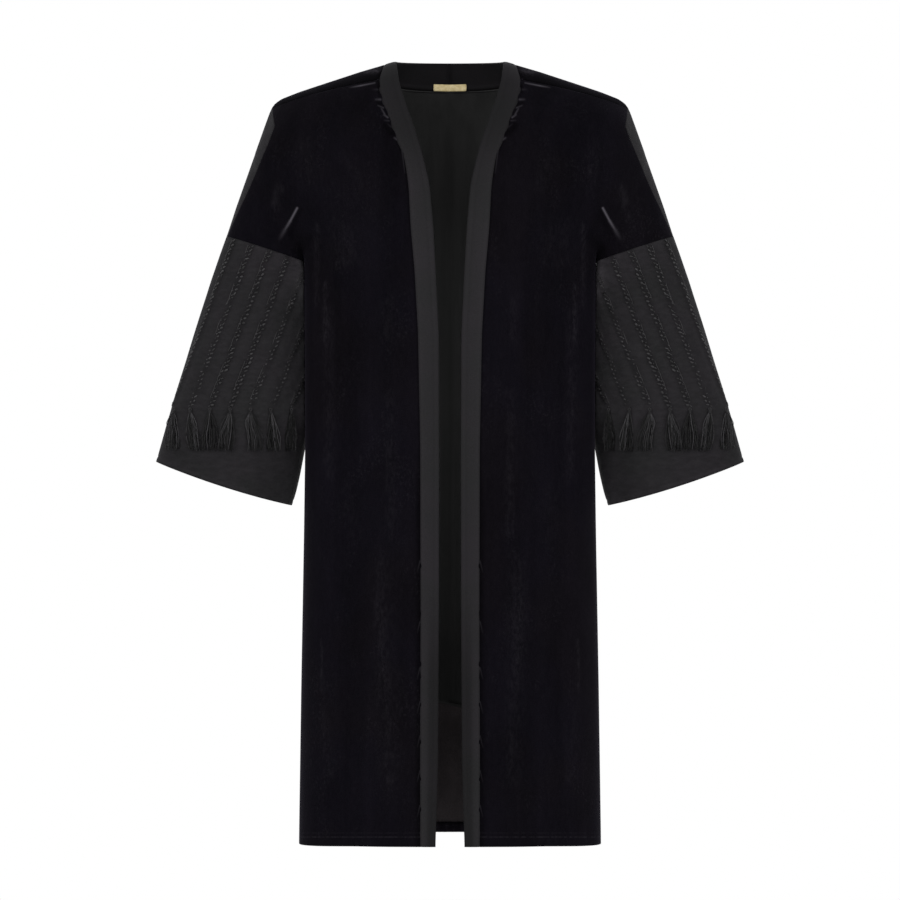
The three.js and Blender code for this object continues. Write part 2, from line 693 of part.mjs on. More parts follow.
const FACE_COLUMNS = sleeveColumns();
const RING_COLUMNS = 2 * FACE_COLUMNS.length - 2;

function sleevePoint(i, j) {
  const inFront = j < FACE_COLUMNS.length;
  const column = FACE_COLUMNS[inFront ? j : RING_COLUMNS - j];
  const face = inFront ? -1 : 1;
  const lAt = (w) => ringL(i, w);
  const inner = crossing(lAt, sleeveInner, -60, 150);
  const outer = crossing(lAt, armEdge, 140, 280);
  const margin = EDGE_STEPS[EDGE_STEPS.length - 1];
  let w = column.w;
  if (column.from === 'inner') w = inner + column.step;
  if (column.from === 'outer') w = outer - column.step;
  const held = column.from ? w : clamp(w, inner + margin, outer - margin);
  const spot = sleeveSurface(lAt, held, face);
  const raised = column.raised && held === w && i > 0 && i <= SLEEVE_ROWS;
  return [spot.x, spot.y + (raised ? face * BRAID_HEIGHT : 0), spot.z];
}

function lowerSleeve() {
  return shell({
    rows: SLEEVE_ROWS + CUFF_ROWS,
    columns: RING_COLUMNS,
    point: sleevePoint,
    wall: CREPE_WALL,
    level: (i) => (i === 0 ? SLEEVE_AXIS : null),
    ring: true,
  });
}

// Closed prism of three or more sides between two places, as a solid to be joined
function spike(from, to, radiusFrom, radiusTo, sides, turn) {
  const axis = to.clone().sub(from).normalize();
  const direction = new THREE.Quaternion().setFromUnitVectors(new THREE.Vector3(0, 0, 1), axis);
  const points = [];
  for (const [middle, radius] of [[from, radiusFrom], [to, radiusTo]]) {
    for (let n = 0; n < sides; n += 1) {
      const angle = turn + n * 2 * Math.PI / sides;
      const corner = new THREE.Vector3(Math.cos(angle), Math.sin(angle), 0).multiplyScalar(radius);
      points.push(corner.applyQuaternion(direction).add(middle));
    }
  }
  const order = [];
  for (let n = 0; n < sides; n += 1) {
    const next = (n + 1) % sides;
    order.push(n, next, sides + next, n, sides + next, sides + n);
  }
  for (let n = 1; n < sides - 1; n += 1) order.push(0, n + 1, n, sides, sides + n, sides + n + 1);
  return new wasm.Manifold(new wasm.Mesh({
    numProp: 3,
    vertProperties: new Float32Array(points.flatMap((spot) => [spot.x, spot.y, spot.z])),
    triVerts: new Uint32Array(order),
  }));
}

// Outermost place of the sleeve's surface near one of its places, given at three points abreast
function sleeveNear(x, z, reach, face) {
  let most = -Infinity;
  for (const side of [-1, 0, 1]) {
    const w = across(x + side * reach, z);
    const l = along(x + side * reach, z);
    const lAt = (v) => l + (v - w) * Math.tan(SLEEVE_TILT);
    most = Math.max(most, face * sleeveSurface(lAt, w, face).y);
  }
  return most;
}

// Tassel: strands that hang apart below a bound head, close to the sleeve
function tassel(k, face) {
  const w = BRAID_MIDDLE + k * BRAID_PITCH;
  const x = Math.min(sleeveX(w, tasselL(w)), armEdge(BRAID_END_Z) - TASSEL_EDGE);
  const lowZ = BRAID_END_Z - TASSEL_LENGTH;
  const endHalf = TASSEL_DEPTH / 2 + STRAND.tip;
  const atHead = sleeveNear(x, BRAID_END_Z, TASSEL_HEAD.radius, face) + TASSEL_HEAD.radius + TASSEL_AIR;
  const atEnd = sleeveNear(x, lowZ, TASSEL_SPREAD + STRAND.tip, face) + endHalf + TASSEL_AIR;
  const atMiddle = sleeveNear(x, (BRAID_END_Z + lowZ) / 2, TASSEL_SPREAD / 2, face) + endHalf + TASSEL_AIR;
  const more = Math.max(atMiddle - (atHead + atEnd) / 2, 0);
  const head = new THREE.Vector3(x, face * (atHead + more), BRAID_END_Z);
  const end = new THREE.Vector3(x, face * (atEnd + more), lowZ);
  const axis = end.clone().sub(head).normalize();
  const neck = head.clone().addScaledVector(axis, TASSEL_HEAD.height);
  let solid = spike(head, neck, TASSEL_HEAD.top, TASSEL_HEAD.radius, TASSEL_HEAD.sides, 0);
  const outermost = (TASSEL_STRANDS - 1) / 2;
  for (let n = 0; n < TASSEL_STRANDS; n += 1) {
    const share = (n - outermost) / outermost;
    const row = n % 2 - 0.5;
    const root = neck.clone().addScaledVector(axis, -STRAND.overlap);
    root.x += share * TASSEL_HEAD.radius * 0.66;
    root.y += face * row * TASSEL_HEAD.top;
    const tip = end.clone();
    tip.x += share * TASSEL_SPREAD;
    tip.y += face * row * TASSEL_DEPTH;
    tip.z += ((n * 5) % 8 - 4) * STRAND.unevenness;
    solid = solid.add(spike(root, tip, STRAND.root, STRAND.tip, STRAND.sides, n));
  }
  const mesh = solid.getMesh();
  const points = [];
  for (let v = 0; v < mesh.vertProperties.length; v += mesh.numProp) {
    points.push(new THREE.Vector3(...mesh.vertProperties.slice(v, v + 3)));
  }
  const triangles = [];
  for (let t = 0; t < mesh.triVerts.length; t += 3) triangles.push([...mesh.triVerts.slice(t, t + 3)]);
  return { points, triangles };
}

const COLOURS = {
  velvet: { color: 0x141218, roughness: 0.85, metalness: 0 },
  crepe: { color: 0x2a2a2c, roughness: 0.75, metalness: 0 },
  lining: { color: 0x18181a, roughness: 0.6, metalness: 0 },
  thread: { color: 0x242326, roughness: 0.5, metalness: 0 },
  label: { color: 0xc8b48a, roughness: 0.6, metalness: 0 },
};

const garment = new THREE.Group();

function addPiece(name, finish, piece, mirrored = false) {
  const mesh = new THREE.Mesh(geometryOf(piece, mirrored), new THREE.MeshStandardMaterial(COLOURS[finish]));
  mesh.name = name;
  garment.add(mesh);
}

addPiece('back', 'velvet', backPanel());
addPiece('back_lining', 'lining', backLining());
addPiece('back_hem_turn', 'velvet', backHemTurn());
addPiece('label', 'label', label());

for (const [side, mirrored] of [['left', false], ['right', true]]) {
  addPiece(`front_${side}`, 'velvet', frontPanel(), mirrored);
  addPiece(`band_${side}`, 'crepe', band(false), mirrored);
  addPiece(`neck_band_${side}`, 'crepe', band(true), mirrored);
  addPiece(`upper_sleeve_back_${side}`, 'crepe', upperBack(), mirrored);
  addPiece(`sleeve_${side}`, 'crepe', lowerSleeve(), mirrored);
  for (const [where, face] of [['front', -1], ['back', 1]]) {
    for (let k = BRAID_FIRST; k <= BRAID_LAST; k += 1) {
      addPiece(`tassel_${side}_${where}_${k - BRAID_FIRST + 1}`, 'thread', tassel(k, face), mirrored);
    }
  }
}

export default garment;
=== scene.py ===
"""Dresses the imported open-front abaya in velvet, crepe, lining, braid, tassels and label, and lights it.

Its form is worked out here from the same named sizes as the solids, in millimetres and on finer grids.
"""

import math
import random

import bpy
import numpy as np
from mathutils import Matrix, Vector


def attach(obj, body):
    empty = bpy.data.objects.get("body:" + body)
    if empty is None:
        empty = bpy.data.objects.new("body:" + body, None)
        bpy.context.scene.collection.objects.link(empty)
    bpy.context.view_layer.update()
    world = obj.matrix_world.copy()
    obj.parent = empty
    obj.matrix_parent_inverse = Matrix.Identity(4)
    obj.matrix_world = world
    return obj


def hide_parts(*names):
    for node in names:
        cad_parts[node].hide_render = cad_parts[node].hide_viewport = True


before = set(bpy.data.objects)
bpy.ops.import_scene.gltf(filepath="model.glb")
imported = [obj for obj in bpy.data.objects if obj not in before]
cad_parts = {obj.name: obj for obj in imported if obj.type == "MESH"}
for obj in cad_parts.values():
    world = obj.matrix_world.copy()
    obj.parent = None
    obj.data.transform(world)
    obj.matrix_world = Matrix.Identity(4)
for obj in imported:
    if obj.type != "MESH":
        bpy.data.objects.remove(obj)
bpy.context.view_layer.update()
MM = 0.001

# Camera: level, straight in front, and far away
CAMERA_AWAY = 5.1
CAMERA_HEIGHT = -0.486
FRAME_WIDTH = 1.215
SENSOR = 36.0
FLOOR_Z = -1.32

# Cloth walls and seams, in millimetres as in the solids
VELVET_WALL = 2.0
CREPE_WALL = 1.6
BAND_WALL = 2.4
LINING_WALL = 1.0
SEAM_GAP = 0.12
LINING_AIR = 0.6
LAP_OVER = 1.2

ARMPIT_Z = -232
ARMPIT_X = 197
BODY_CORNER = 2.5
ROLL_NECK = 110
ROLL_TIP = 60
CHEST_SPREAD = 150
HEM_FRONT = -1011.5
HEM_SIDE_DROP = 4.5
LINING_HEM = -838
HEM_WAVER = 4.5
HEM_TURN = 13
HEM_STITCH = 17

SEAM_NECK = (94.5, 11)
SEAM_TIP = (240, -24)
BACK_TIP_X = 237.5
FRONT_TIP_X = 205

SLEEVE_TILT = math.radians(21)
DROP_SEAM_OUTER = (301.4, -198.2)
ARM_HALF_WIDTH = 54.7
ARM_HALF_DEPTH = 52
CUFF_HALF_DEPTH = 58
SLEEVE_CORNER = 2.3
SLEEVE_FORWARD = 12
SLEEVE_TUCK = 33
SLEEVE_AIR = 1.0
CUFF_INNER = (214.5, -561.6)
CUFF_OUTER = (397.6, -501.5)
CUFF_STITCH = 7

BRAID_PITCH = 25.2
BRAID_MIDDLE = 121
BRAID_NUMBERS = range(-3, 4)
BRAID_END_Z = -429
TASSEL_LENGTH = 59
TASSEL_SPREAD = 7.0
TASSEL_DEPTH = 3.2
TASSEL_EDGE = 5

# Tables with a row for each height: body, arm and sleeve edges, band edges
BODY = [  # height, half width, half depth
    (70, 197, 68), (0, 197, 76), (-60, 197, 88), (-120, 197, 98), (-180, 197, 104), (-232, 197, 105),
    (-320, 196, 102), (-480, 195.4, 98), (-600, 197, 97), (-800, 200.6, 99), (-1020, 203.8, 101),
]
RIDGE = [  # distance from the middle, height
    (0, 58), (73, 38.5), (89, 33.8), (121.5, 24.3), (162, 10.8), (202.5, -2.7), (226.8, -12), (235, -17.5),
    (239, -21.6), (243, -29.7),
]
ARM_EDGE = [  # height, outer edge
    (-21.6, 239), (-29.7, 243), (-46, 248.8), (-94.5, 265.8), (-159, 288.6), (-193, 299.7), (-256.5, 322.4),
    (-321, 343.3), (-386, 363.8), (-451, 383.3), (-497, 396.2), (-560, 413),
]
SLEEVE_INNER = [  # height, inner edge
    (-200, 205), (-232, 197), (-262, 190), (-300, 187.5), (-440, 187.5), (-482, 195.8), (-520, 203),
    (-547, 209.3), (-561.6, 214.5), (-600, 232),
]
BAND_EDGES = [  # height, seam with the velvet, free edge
    (30, 90.5, 73), (11, 94.5, 69), (-9, 93, 64), (-30, 86, 57), (-50, 78, 50), (-74, 70, 42), (-96, 60, 36),
    (-135, 54, 26.9), (-190, 51.2, 22.4), (-250, 45.7, 19), (-330, 41.2, 15.1), (-480, 38.3, 14.3),
    (-700, 37.8, 14.7), (-900, 38.5, 15.9), (-1013, 38.2, 19.3),
]
FOLDS = [  # middle, height of the middle, width, reach up and down, rise
    (152, -330, 17, 110, 3.5), (84, -640, 20, 330, 4), (128, -790, 18, 240, -3.5), (172, -720, 16, 300, 3),
    (112, -420, 19, 170, -3), (68, -230, 16, 120, -2.5),
]
STRIP = [  # share of the way down the upper arm, width of the crepe strip in front
    (0, 1), (0.17, 17), (0.3, 16), (0.7, 9), (1, 1.5),
]

NECK_SIDE = (89, 33.8)
NECK_BACK_SEAM_Z = 5
NECK_SEAM_POWER = 0.3
NECK_SIDE_FREE = (73, 38.5)
NECK_BACK_FREE = (60, 42)
LABEL = (45, 9.5, 0.8)
LABEL_LIFT = -1.5
LABEL_LEAN = (0.9, 3.6)
LABEL_TURN = math.radians(18)
LABEL_COLUMNS = 24
LABEL_ROWS = 6


def mix(a, b, t):
    return a + (b - a) * t


def smooth(t):
    c = np.clip(t, 0, 1)
    return c * c * (3 - 2 * c)


def look(table, column, at, reach):
    """A table's column at a key, as the mean of five places close together."""
    rows = sorted(table)
    keys = [row[0] for row in rows]
    values = [row[column] for row in rows]
    return sum(np.interp(at + step * reach, keys, values) for step in (-1, -0.5, 0, 0.5, 1)) / 5


def column_of(table, column, reach):
    """Looks up one column of a table at any height or distance."""
    return lambda at: look(table, column, at, reach)


body_width = column_of(BODY, 1, 25)
body_depth = column_of(BODY, 2, 25)
arm_edge = column_of(ARM_EDGE, 1, 4)
sleeve_inner = column_of(SLEEVE_INNER, 1, 8)
band_seam = column_of(BAND_EDGES, 1, 10)
band_free = column_of(BAND_EDGES, 2, 10)


def ridge_z(x):
    return look(RIDGE, 1, np.abs(x), 2)


def bell(apart, width):
    return np.exp(-((apart / width) ** 2))


def unit(directions):
    return directions / np.linalg.norm(directions, axis=-1, keepdims=True)


def superellipse(share, corner):
    return (1 - np.clip(share, 0, 1) ** corner) ** (1 / corner)


# On the sleeve, w runs across it and l along it, down to the cuff
COS, SIN = math.cos(SLEEVE_TILT), math.sin(SLEEVE_TILT)
DOWN_SLEEVE = (SIN, 0, -COS)


def across(x, z):
    return x * COS + z * SIN


def along(x, z):
    return x * SIN - z * COS


def sleeve_x(w, l):
    return w * COS + l * SIN


def sleeve_z(w, l):
    return w * SIN - l * COS


DROP_L = along(ARMPIT_X, ARMPIT_Z)
TIP_L = along(*SEAM_TIP)
DROP_W = across(ARMPIT_X, ARMPIT_Z)
DROP_SLOPE = (along(*DROP_SEAM_OUTER) - DROP_L) / (across(*DROP_SEAM_OUTER) - DROP_W)


def drop_l(w):
    """How far down the arm the drop seam lies, across the sleeve."""
    return DROP_L + DROP_SLOPE * (w - DROP_W)


def torso_depth(x, z):
    width = mix(body_width(z), arm_edge(z), smooth((z - ARMPIT_Z) / CHEST_SPREAD))
    return body_depth(z) * superellipse(np.abs(x) / width, BODY_CORNER)


def arm_depth(x, z):
    w = across(np.abs(x), z)
    rise = np.clip((DROP_L - along(np.abs(x), z)) / (DROP_L - TIP_L), 0, 1)
    middle = across(arm_edge(z), z) - ARM_HALF_WIDTH
    inward = ARM_HALF_WIDTH * (1 + 3 * rise * rise)
    share = np.where(w < middle, (middle - w) / inward, (w - middle) / ARM_HALF_WIDTH)
    return ARM_HALF_DEPTH * np.sqrt(np.maximum(1 - share * share, 0))


def fold_height(x, z):
    total = 0
    for middle, height, width, reach, rise in FOLDS:
        side = (np.abs(x) - middle) / width
        up = (z - height) / reach
        total = total + rise * np.exp(-side * side - up**4)
    return total


def depth(x, z):
    """How far the cloth stands from the middle plane, in front or behind."""
    fall = ridge_z(x) - z
    roll = mix(ROLL_NECK, ROLL_TIP, smooth((np.abs(x) - 120) / 100))
    part = np.clip(fall / roll, 0, 1)
    rounded = np.sqrt(1 - (1 - part) ** 2)
    torso = torso_depth(x, z)
    arm = np.where(z > ARMPIT_Z, arm_depth(x, z), 0)
    full = (torso**4 + arm**4) ** 0.25
    return rounded * full + fold_height(x, z) * smooth(full / 60) * smooth(fall / 90)


CREASES = [  # fine, in front only: x, z, half width, half length, lean, rise
    (213, -178, 2.6, 26, 0.42, 2.2), (224, -200, 4.5, 34, 0.40, 1.4), (207, -196, 4.0, 30, 0.45, -1.8),
    (232, -150, 8.0, 40, 0.30, 1.0), (186, -150, 9.0, 46, 0.35, -0.9),
]
PUCKERS = [  # along the band's seam on the chest: height, reach out from the seam, rise
    (2, 13, 0.8), (-6, 16, -0.7), (-15, 12, 0.9), (-24, 17, -0.9), (-36, 12, 0.9), (-47, 15, 1.1),
    (-58, 10, -0.8), (-66, 13, 0.9), (-80, 8, -0.6), (-93, 9, 0.6),
]
TICKS = [(z, 4, 0.9) for z in (-770, -786, -824, -873, -921, -962, -705, -640)]  # the same, lower down


def fine_front(x, z):
    """Small creases and puckers of the front, on top of its larger form."""
    total = 0
    side = np.abs(x)
    for middle, height, half, length, lean, rise in CREASES:
        up = z - height
        total = total + rise * bell(side - middle + lean * up, half) * bell(up, length)
    out = side - band_seam(z)
    for rows, lean, half in ((PUCKERS, 0.25, 3.2), (TICKS, 0.9, 2.2)):
        for height, reach, rise in rows:
            fade = np.exp(-np.clip(out, 0, None) / reach)
            total = total + rise * bell(z - height - lean * out, half) * fade
    roll = 0.9 * bell(out - 5, 3.0) * smooth((z + 300) / 120)
    return total + np.where(out > -2, roll - bell(out, 1.6), 0)


def hem_z(x):
    return HEM_FRONT - HEM_SIDE_DROP * (np.abs(x) / body_width(HEM_FRONT)) ** 4


def hem_groove(x, z):
    """Shallow line of the blind hem stitch, a little above the hem."""
    up = z - hem_z(x) - HEM_STITCH
    wave = 1 + 0.5 * np.sin(x * 1.1) * np.sin(x * 0.37 + 1)
    return -0.45 * bell(up, 1.5) * wave


def facing(form, x, z, face):
    """Directions that a form faces, from its slopes."""
    slope_x = (form(x + 1, z) - form(x - 1, z)) / 2
    slope_z = (form(x, z + 1) - form(x, z - 1)) / 2
    return np.stack([-slope_x, np.full_like(x, face), -slope_z], -1)


def on_body(x, z, face, shift=0.0):
    """Points on the front (face -1) or back (face +1) with the directions they face."""

    def form(a, b):
        fine = fine_front(a, b) if face < 0 else 0
        return depth(a, b) + fine * smooth(depth(a, b) / 45) + hem_groove(a, b)

    middle = np.where(depth(x, z) < 0.5, 0, form(x, z))
    return np.stack([x, face * (middle + shift), z], -1), facing(form, x, z, face)


def plain_front(x, z):
    """Points of the front without its fine creases, for the band."""
    return np.stack([x, -depth(x, z) - SEAM_GAP, z], -1), facing(depth, x, z, -1)


# Meshes

def drop_part(normals, axis):
    axis = np.asarray(axis, float)
    return normals - (normals @ axis)[..., None] * axis


def grid_normals(points, ring):
    """Directions that a grid's points face, from its rows and columns."""
    down = np.gradient(points, axis=0)
    if ring:
        side = (np.roll(points, -1, 1) - np.roll(points, 1, 1)) / 2
    else:
        side = np.gradient(points, axis=1)
    return np.cross(down, side)


def shell(name, points, normals, wall, ring=False, turned=False, sink=0.0, mirrored=False, keep=None,
          inside=None):
    """A closed wall of cloth from a grid of outer points. Its inner side takes the inside material."""
    rows, columns = points.shape[:2]
    length = np.linalg.norm(normals, axis=-1, keepdims=True)
    normals = normals / np.maximum(length, 1e-9)
    outer = (points - normals * sink).reshape(-1, 3)
    inner = (points - normals * (sink + wall)).reshape(-1, 3)
    count = rows * columns
    ids = np.arange(count).reshape(rows, columns)
    right = np.roll(ids, -1, 1) if ring else ids[:, 1:]
    left = ids if ring else ids[:, :-1]
    quads = np.stack([left[:-1], left[1:], right[1:], right[:-1]], -1)
    if turned:
        quads = quads[..., ::-1]
    if keep is not None:
        quads = quads[keep]
    quads = quads.reshape(-1, 4)
    edges = np.concatenate([quads[:, [n, (n + 1) % 4]] for n in range(4)])
    seen = {(int(a), int(b)) for a, b in edges}
    rim = [(b, a, a + count, b + count) for a, b in seen if (b, a) not in seen]
    faces = np.concatenate([quads, quads[:, ::-1] + count, np.array(sorted(rim), int).reshape(-1, 4)])
    vertices = np.concatenate([outer, inner]) * MM
    if mirrored:
        vertices = vertices * (-1, 1, 1)
        faces = faces[:, ::-1]
    used = np.unique(faces)
    order = np.full(len(vertices), -1)
    order[used] = np.arange(len(used))
    piece = new_object(name, vertices[used], order[faces])
    piece.data.polygons.foreach_set("use_smooth", np.arange(len(faces)) < 2 * len(quads))
    if inside is not None:
        piece.data.materials.append(None)
        piece.data.materials.append(inside)
        sides = np.zeros(len(faces), int)
        sides[len(quads):2 * len(quads)] = 1
        piece.data.polygons.foreach_set("material_index", sides)
    return piece


def new_object(name, vertices, faces):
    mesh = bpy.data.meshes.new(name)
    mesh.from_pydata(np.asarray(vertices).tolist(), [], [list(map(int, face)) for face in faces])
    mesh.validate()
    mesh.update()
    mesh.polygons.foreach_set("use_smooth", [True] * len(mesh.polygons))
    piece = bpy.data.objects.new(name, mesh)
    bpy.context.scene.collection.objects.link(piece)
    return piece


def paint(piece, name, values):
    """Keeps a number on each point of a mesh, for its material to read."""
    layer = piece.data.attributes.new(name, "FLOAT", "POINT")
    layer.data.foreach_set("value", np.asarray(values, float))


def places(piece):
    """The mesh's points in millimetres, x without its sign."""
    count = len(piece.data.vertices)
    flat = np.empty(count * 3)
    piece.data.vertices.foreach_get("co", flat)
    spots = flat.reshape(-1, 3) / MM
    return np.abs(spots[:, 0]), spots[:, 1], spots[:, 2]


def dress(piece, material, slot, *nodes):
    if piece.data.materials:
        piece.data.materials[0] = material
    else:
        piece.data.materials.append(material)
    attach(piece, "root")
    if nodes:
        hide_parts(*nodes)
    return piece


# Materials

class Cloth:
    """A material in the making: its nodes, and the one shader that they lead to."""

    def __init__(self, name, color, roughness, specular,
                 sheen=0.0, sheen_tint=(1, 1, 1), sheen_roughness=0.5):
        self.material = bpy.data.materials.new(name)
        self.material.use_nodes = True
        self.inputs = self.material.node_tree.nodes["Principled BSDF"].inputs
        self.inputs["Base Color"].default_value = (*color, 1)
        self.inputs["Roughness"].default_value = roughness
        self.inputs["Specular IOR Level"].default_value = specular
        self.inputs["Sheen Weight"].default_value = sheen
        self.inputs["Sheen Roughness"].default_value = sheen_roughness
        self.inputs["Sheen Tint"].default_value = (*sheen_tint, 1)

    def link(self, source, target):
        self.material.node_tree.links.new(source, target)

    def node(self, kind, inputs, **settings):
        """Adds a node. Its inputs, by name or number, are values or other nodes' outputs."""
        node = self.material.node_tree.nodes.new("ShaderNode" + kind)
        for key, value in settings.items():
            setattr(node, key, value)
        for key, value in inputs.items():
            if isinstance(value, bpy.types.NodeSocket):
                self.link(value, node.inputs[key])
            else:
                node.inputs[key].default_value = value
        return node.outputs

    def noise(self, stretch, scale, detail=3.0, roughness=0.55):
        """Noise in object coordinates, stretched by a scale along each axis."""
        place = self.node("TexCoord", {})["Object"]
        space = self.node("Mapping", {"Vector": place, "Scale": stretch})["Vector"]
        inputs = {"Vector": space, "Scale": scale, "Detail": detail, "Roughness": roughness}
        return self.node("TexNoise", inputs)["Fac"]

    def tone(self, factor, dark, light, low=0.35, high=0.65):
        """A colour, or a grey as one number, that runs between two as a factor goes from low to high."""
        color = self.node("ValToRGB", {"Fac": factor})["Color"]
        ends = color.node.color_ramp.elements
        for end, place, shown in ((ends[0], low, dark), (ends[1], high, light)):
            end.position = place
            end.color = (*shown, 1) if isinstance(shown, tuple) else (shown, shown, shown, 1)
        return color

    def multiply(self, product, *others):
        for other in others:
            inputs = {"Factor": 1, "A": product, "B": other}
            product = self.node("Mix", inputs, data_type="RGBA", blend_type="MULTIPLY")["Result"]
        return product

    def kept(self, name, output="Fac"):
        """What the mesh keeps on its points under a name."""
        return self.node("Attribute", {}, attribute_name=name)[output]

    def math(self, operation, *values):
        return self.node("Math", dict(enumerate(values)), operation=operation)[0]

    def vector(self, operation, output, *values):
        return self.node("VectorMath", dict(enumerate(values)), operation=operation)[output]

    def scaled(self, run, share):
        return self.node("VectorMath", {0: run, "Scale": share}, operation="SCALE")["Vector"]

    def streak(self, spot, row):
        """Soft line from one place to another, as bright as its row says at either end."""
        x1, z1, x2, z2, half, start, end = row
        x, z = x2 - x1, z2 - z1
        length = x**2 + z**2
        away = self.vector("SUBTRACT", "Vector", spot, (x1, z1, 0))
        run = self.vector("DOT_PRODUCT", "Value", away, (x / length, z / length, 0))
        share = self.math("MINIMUM", self.math("MAXIMUM", run, 0.0), 1.0)
        aside = self.vector("SUBTRACT", "Vector", away, self.scaled((x, z, 0), share))
        apart = self.vector("LENGTH", "Value", aside)
        steep = self.math("MULTIPLY", self.math("MULTIPLY", apart, apart), -1 / half**2)
        level = self.math("MULTIPLY_ADD", share, end - start, start)
        return self.math("MULTIPLY", self.math("POWER", math.e, steep), level)

    def finish(self, color, layers):
        """Leads a colour and stacked bumps, each of a height, strength and distance, to the shader."""
        self.link(color, self.inputs["Base Color"])
        normal = {}
        for height, strength, distance in layers:
            inputs = {"Height": height, "Strength": strength, "Distance": distance, **normal}
            normal = {"Normal": self.node("Bump", inputs)["Normal"]}
        self.link(normal["Normal"], self.inputs["Normal"])
        return self.material


def spread(color, part):
    """A colour made darker and lighter by a part of itself."""
    return tuple((1 - part) * c for c in color), tuple((1 + part) * c for c in color)


# Painted highlights on the velvet: on its creases and puckers, and below the shoulder seam
PAINTED_HIGHLIGHTS = [  # from x, z to x, z as seen; half width; brightness at the start and at the end
    (206.4, -159.5, 215.5, -176.5, 1.4, 0.060, 0.062), (215.5, -176.5, 223, -189, 1.7, 0.058, 0.020),
    (223, -189, 230, -201, 2.4, 0.018, 0.003), (233, -131, 238, -152, 4.0, 0.0015, 0.0030),
    (136, 3.2, 121, 5.8, 1.0, 0.003, 0.044), (121, 5.8, 101.5, 9.6, 1.0, 0.044, 0.022),
    (108, 26, 97, 22.5, 1.6, 0.012, 0.016), (104, 0.8, 98, 0.6, 1.4, 0.002, 0.007),
    (100, -12.8, 94, -12.8, 1.5, 0.010, 0.022), (97, -21, 90, -24, 1.1, 0.010, 0.016),
    (92.5, -25, 88, -33, 1.1, 0.012, 0.020), (89, -33.5, 84, -37, 1.2, 0.016, 0.028),
    (88.5, -41, 82.5, -41.5, 1.1, 0.004, 0.010), (84, -46, 79, -50, 1.0, 0.002, 0.006),
    (75, -64.5, 69.5, -68, 1.3, 0.012, 0.034), (66, -74, 63.5, -92, 0.8, 0.012, 0.009),
    (63.5, -92, 61, -112, 0.8, 0.009, 0.004),
]
# Painted highlights on the small puckers along the band's seam lower down
TICK_HEIGHTS = (-642, -724, -786, -832, -878, -925, -972)
PAINTED_HIGHLIGHTS += [(44.2, z - 9, 40.6, z + 6, 0.8, 0.002, 0.009) for z in TICK_HEIGHTS]
# Painted highlight lines along the hem stitch
HEM_HIGHLIGHTS = [(-1008.5, 0.0052), (-1003, 0.0018)]  # height, brightness
# Brightness of the painted glints on the velvet's pile
GLINT_LEVEL = 0.0034
# Tint of the painted highlights, sheen and glints on the velvet
HIGHLIGHT_TINT = (1.0, 0.93, 1.08)


def velvet():
    """Black velvet: short pile that darkens where it faces the eye, with painted shade, and painted
    highlights, sheen and glints added to its colour.
    """
    cloth = Cloth("velvet", (0.0046, 0.0040, 0.0058), 0.95, 0.02, 0.03, (0.80, 0.72, 1.0), 0.35)
    clouds = cloth.noise((1, 1, 0.6), 18)
    pile = cloth.noise((1, 1, 0.5), 1400, 2)
    base = cloth.tone(cloth.noise((26, 26, 1.6), 1.0, 4), (0.0029, 0.0025, 0.0038), (0.0041, 0.0035, 0.0053))
    mottle = cloth.tone(clouds, 0.84, 1.14, 0.3, 0.7)
    hue = cloth.tone(cloth.noise((1, 1, 0.8), 7), (0.98, 0.94, 0.90), (0.93, 0.92, 0.98), 0.4, 0.56)
    grain = cloth.tone(pile, 0.7, 1.25, 0.3, 0.7)
    # The kept shade is painted light and shade
    ground = cloth.multiply(base, mottle, hue, grain, cloth.kept("shade"))
    seen = cloth.kept("seen", "Vector")
    painted_highlight = 0.0
    # Painted highlight streaks
    for row in PAINTED_HIGHLIGHTS:
        painted_highlight = cloth.math("MAXIMUM", cloth.streak(seen, row), painted_highlight)
    # Painted highlight lines along the hem stitch, in dashes
    for height, level in HEM_HIGHLIGHTS:
        line = cloth.streak(seen, (20, height, 207, height, 0.75, level, level))
        dashes = cloth.tone(cloth.noise((1, 1, 0), 190, 2), 0.1, 1.6)
        painted_highlight = cloth.math("MULTIPLY_ADD", line, dashes, painted_highlight)
    # Painted sheen, kept on the points and broken up by noise
    sheen_breakup = cloth.tone(cloth.noise((1, 1, 0.42), 230, 3, 0.7), 0.2, 2.5, 0.4, 0.75)
    painted_highlight = cloth.math("MULTIPLY_ADD", cloth.kept("painted_sheen"), sheen_breakup, painted_highlight)
    # Painted glints in patches
    glints = cloth.tone(cloth.noise((1, 1, 0.7), 330, 2, 0.7), 0, 1, 0.52, 0.72)
    patches = cloth.tone(cloth.noise((1, 1, 0.5), 26), 0, 1, 0.5, 0.66)
    painted_highlight = cloth.math("MULTIPLY_ADD", cloth.multiply(glints, patches), GLINT_LEVEL, painted_highlight)
    color = cloth.vector("ADD", "Vector", ground, cloth.scaled(HIGHLIGHT_TINT, painted_highlight))
    return cloth.finish(color, [(pile, 0.5, 0.0004), (clouds, 0.25, 0.002)])


def wrong_side():
    """Back of the velvet: its bare woven ground, browner and duller than the pile, times painted light kept
    on its points, lighter just below the lining's hem.
    """
    color = (0.0262, 0.0224, 0.0238)
    cloth = Cloth("velvet_wrong_side", color, 0.8, 0.05)
    weave = cloth.noise((1, 1, 0.3), 1300, 2)
    base = cloth.tone(cloth.noise((1, 1, 0.4), 40), *spread(color, 0.15))
    grain = cloth.tone(weave, 0.8, 1.2, 0.3, 0.7)
    return cloth.finish(cloth.multiply(base, grain, cloth.kept("inside")), [(weave, 0.4, 0.0003)])


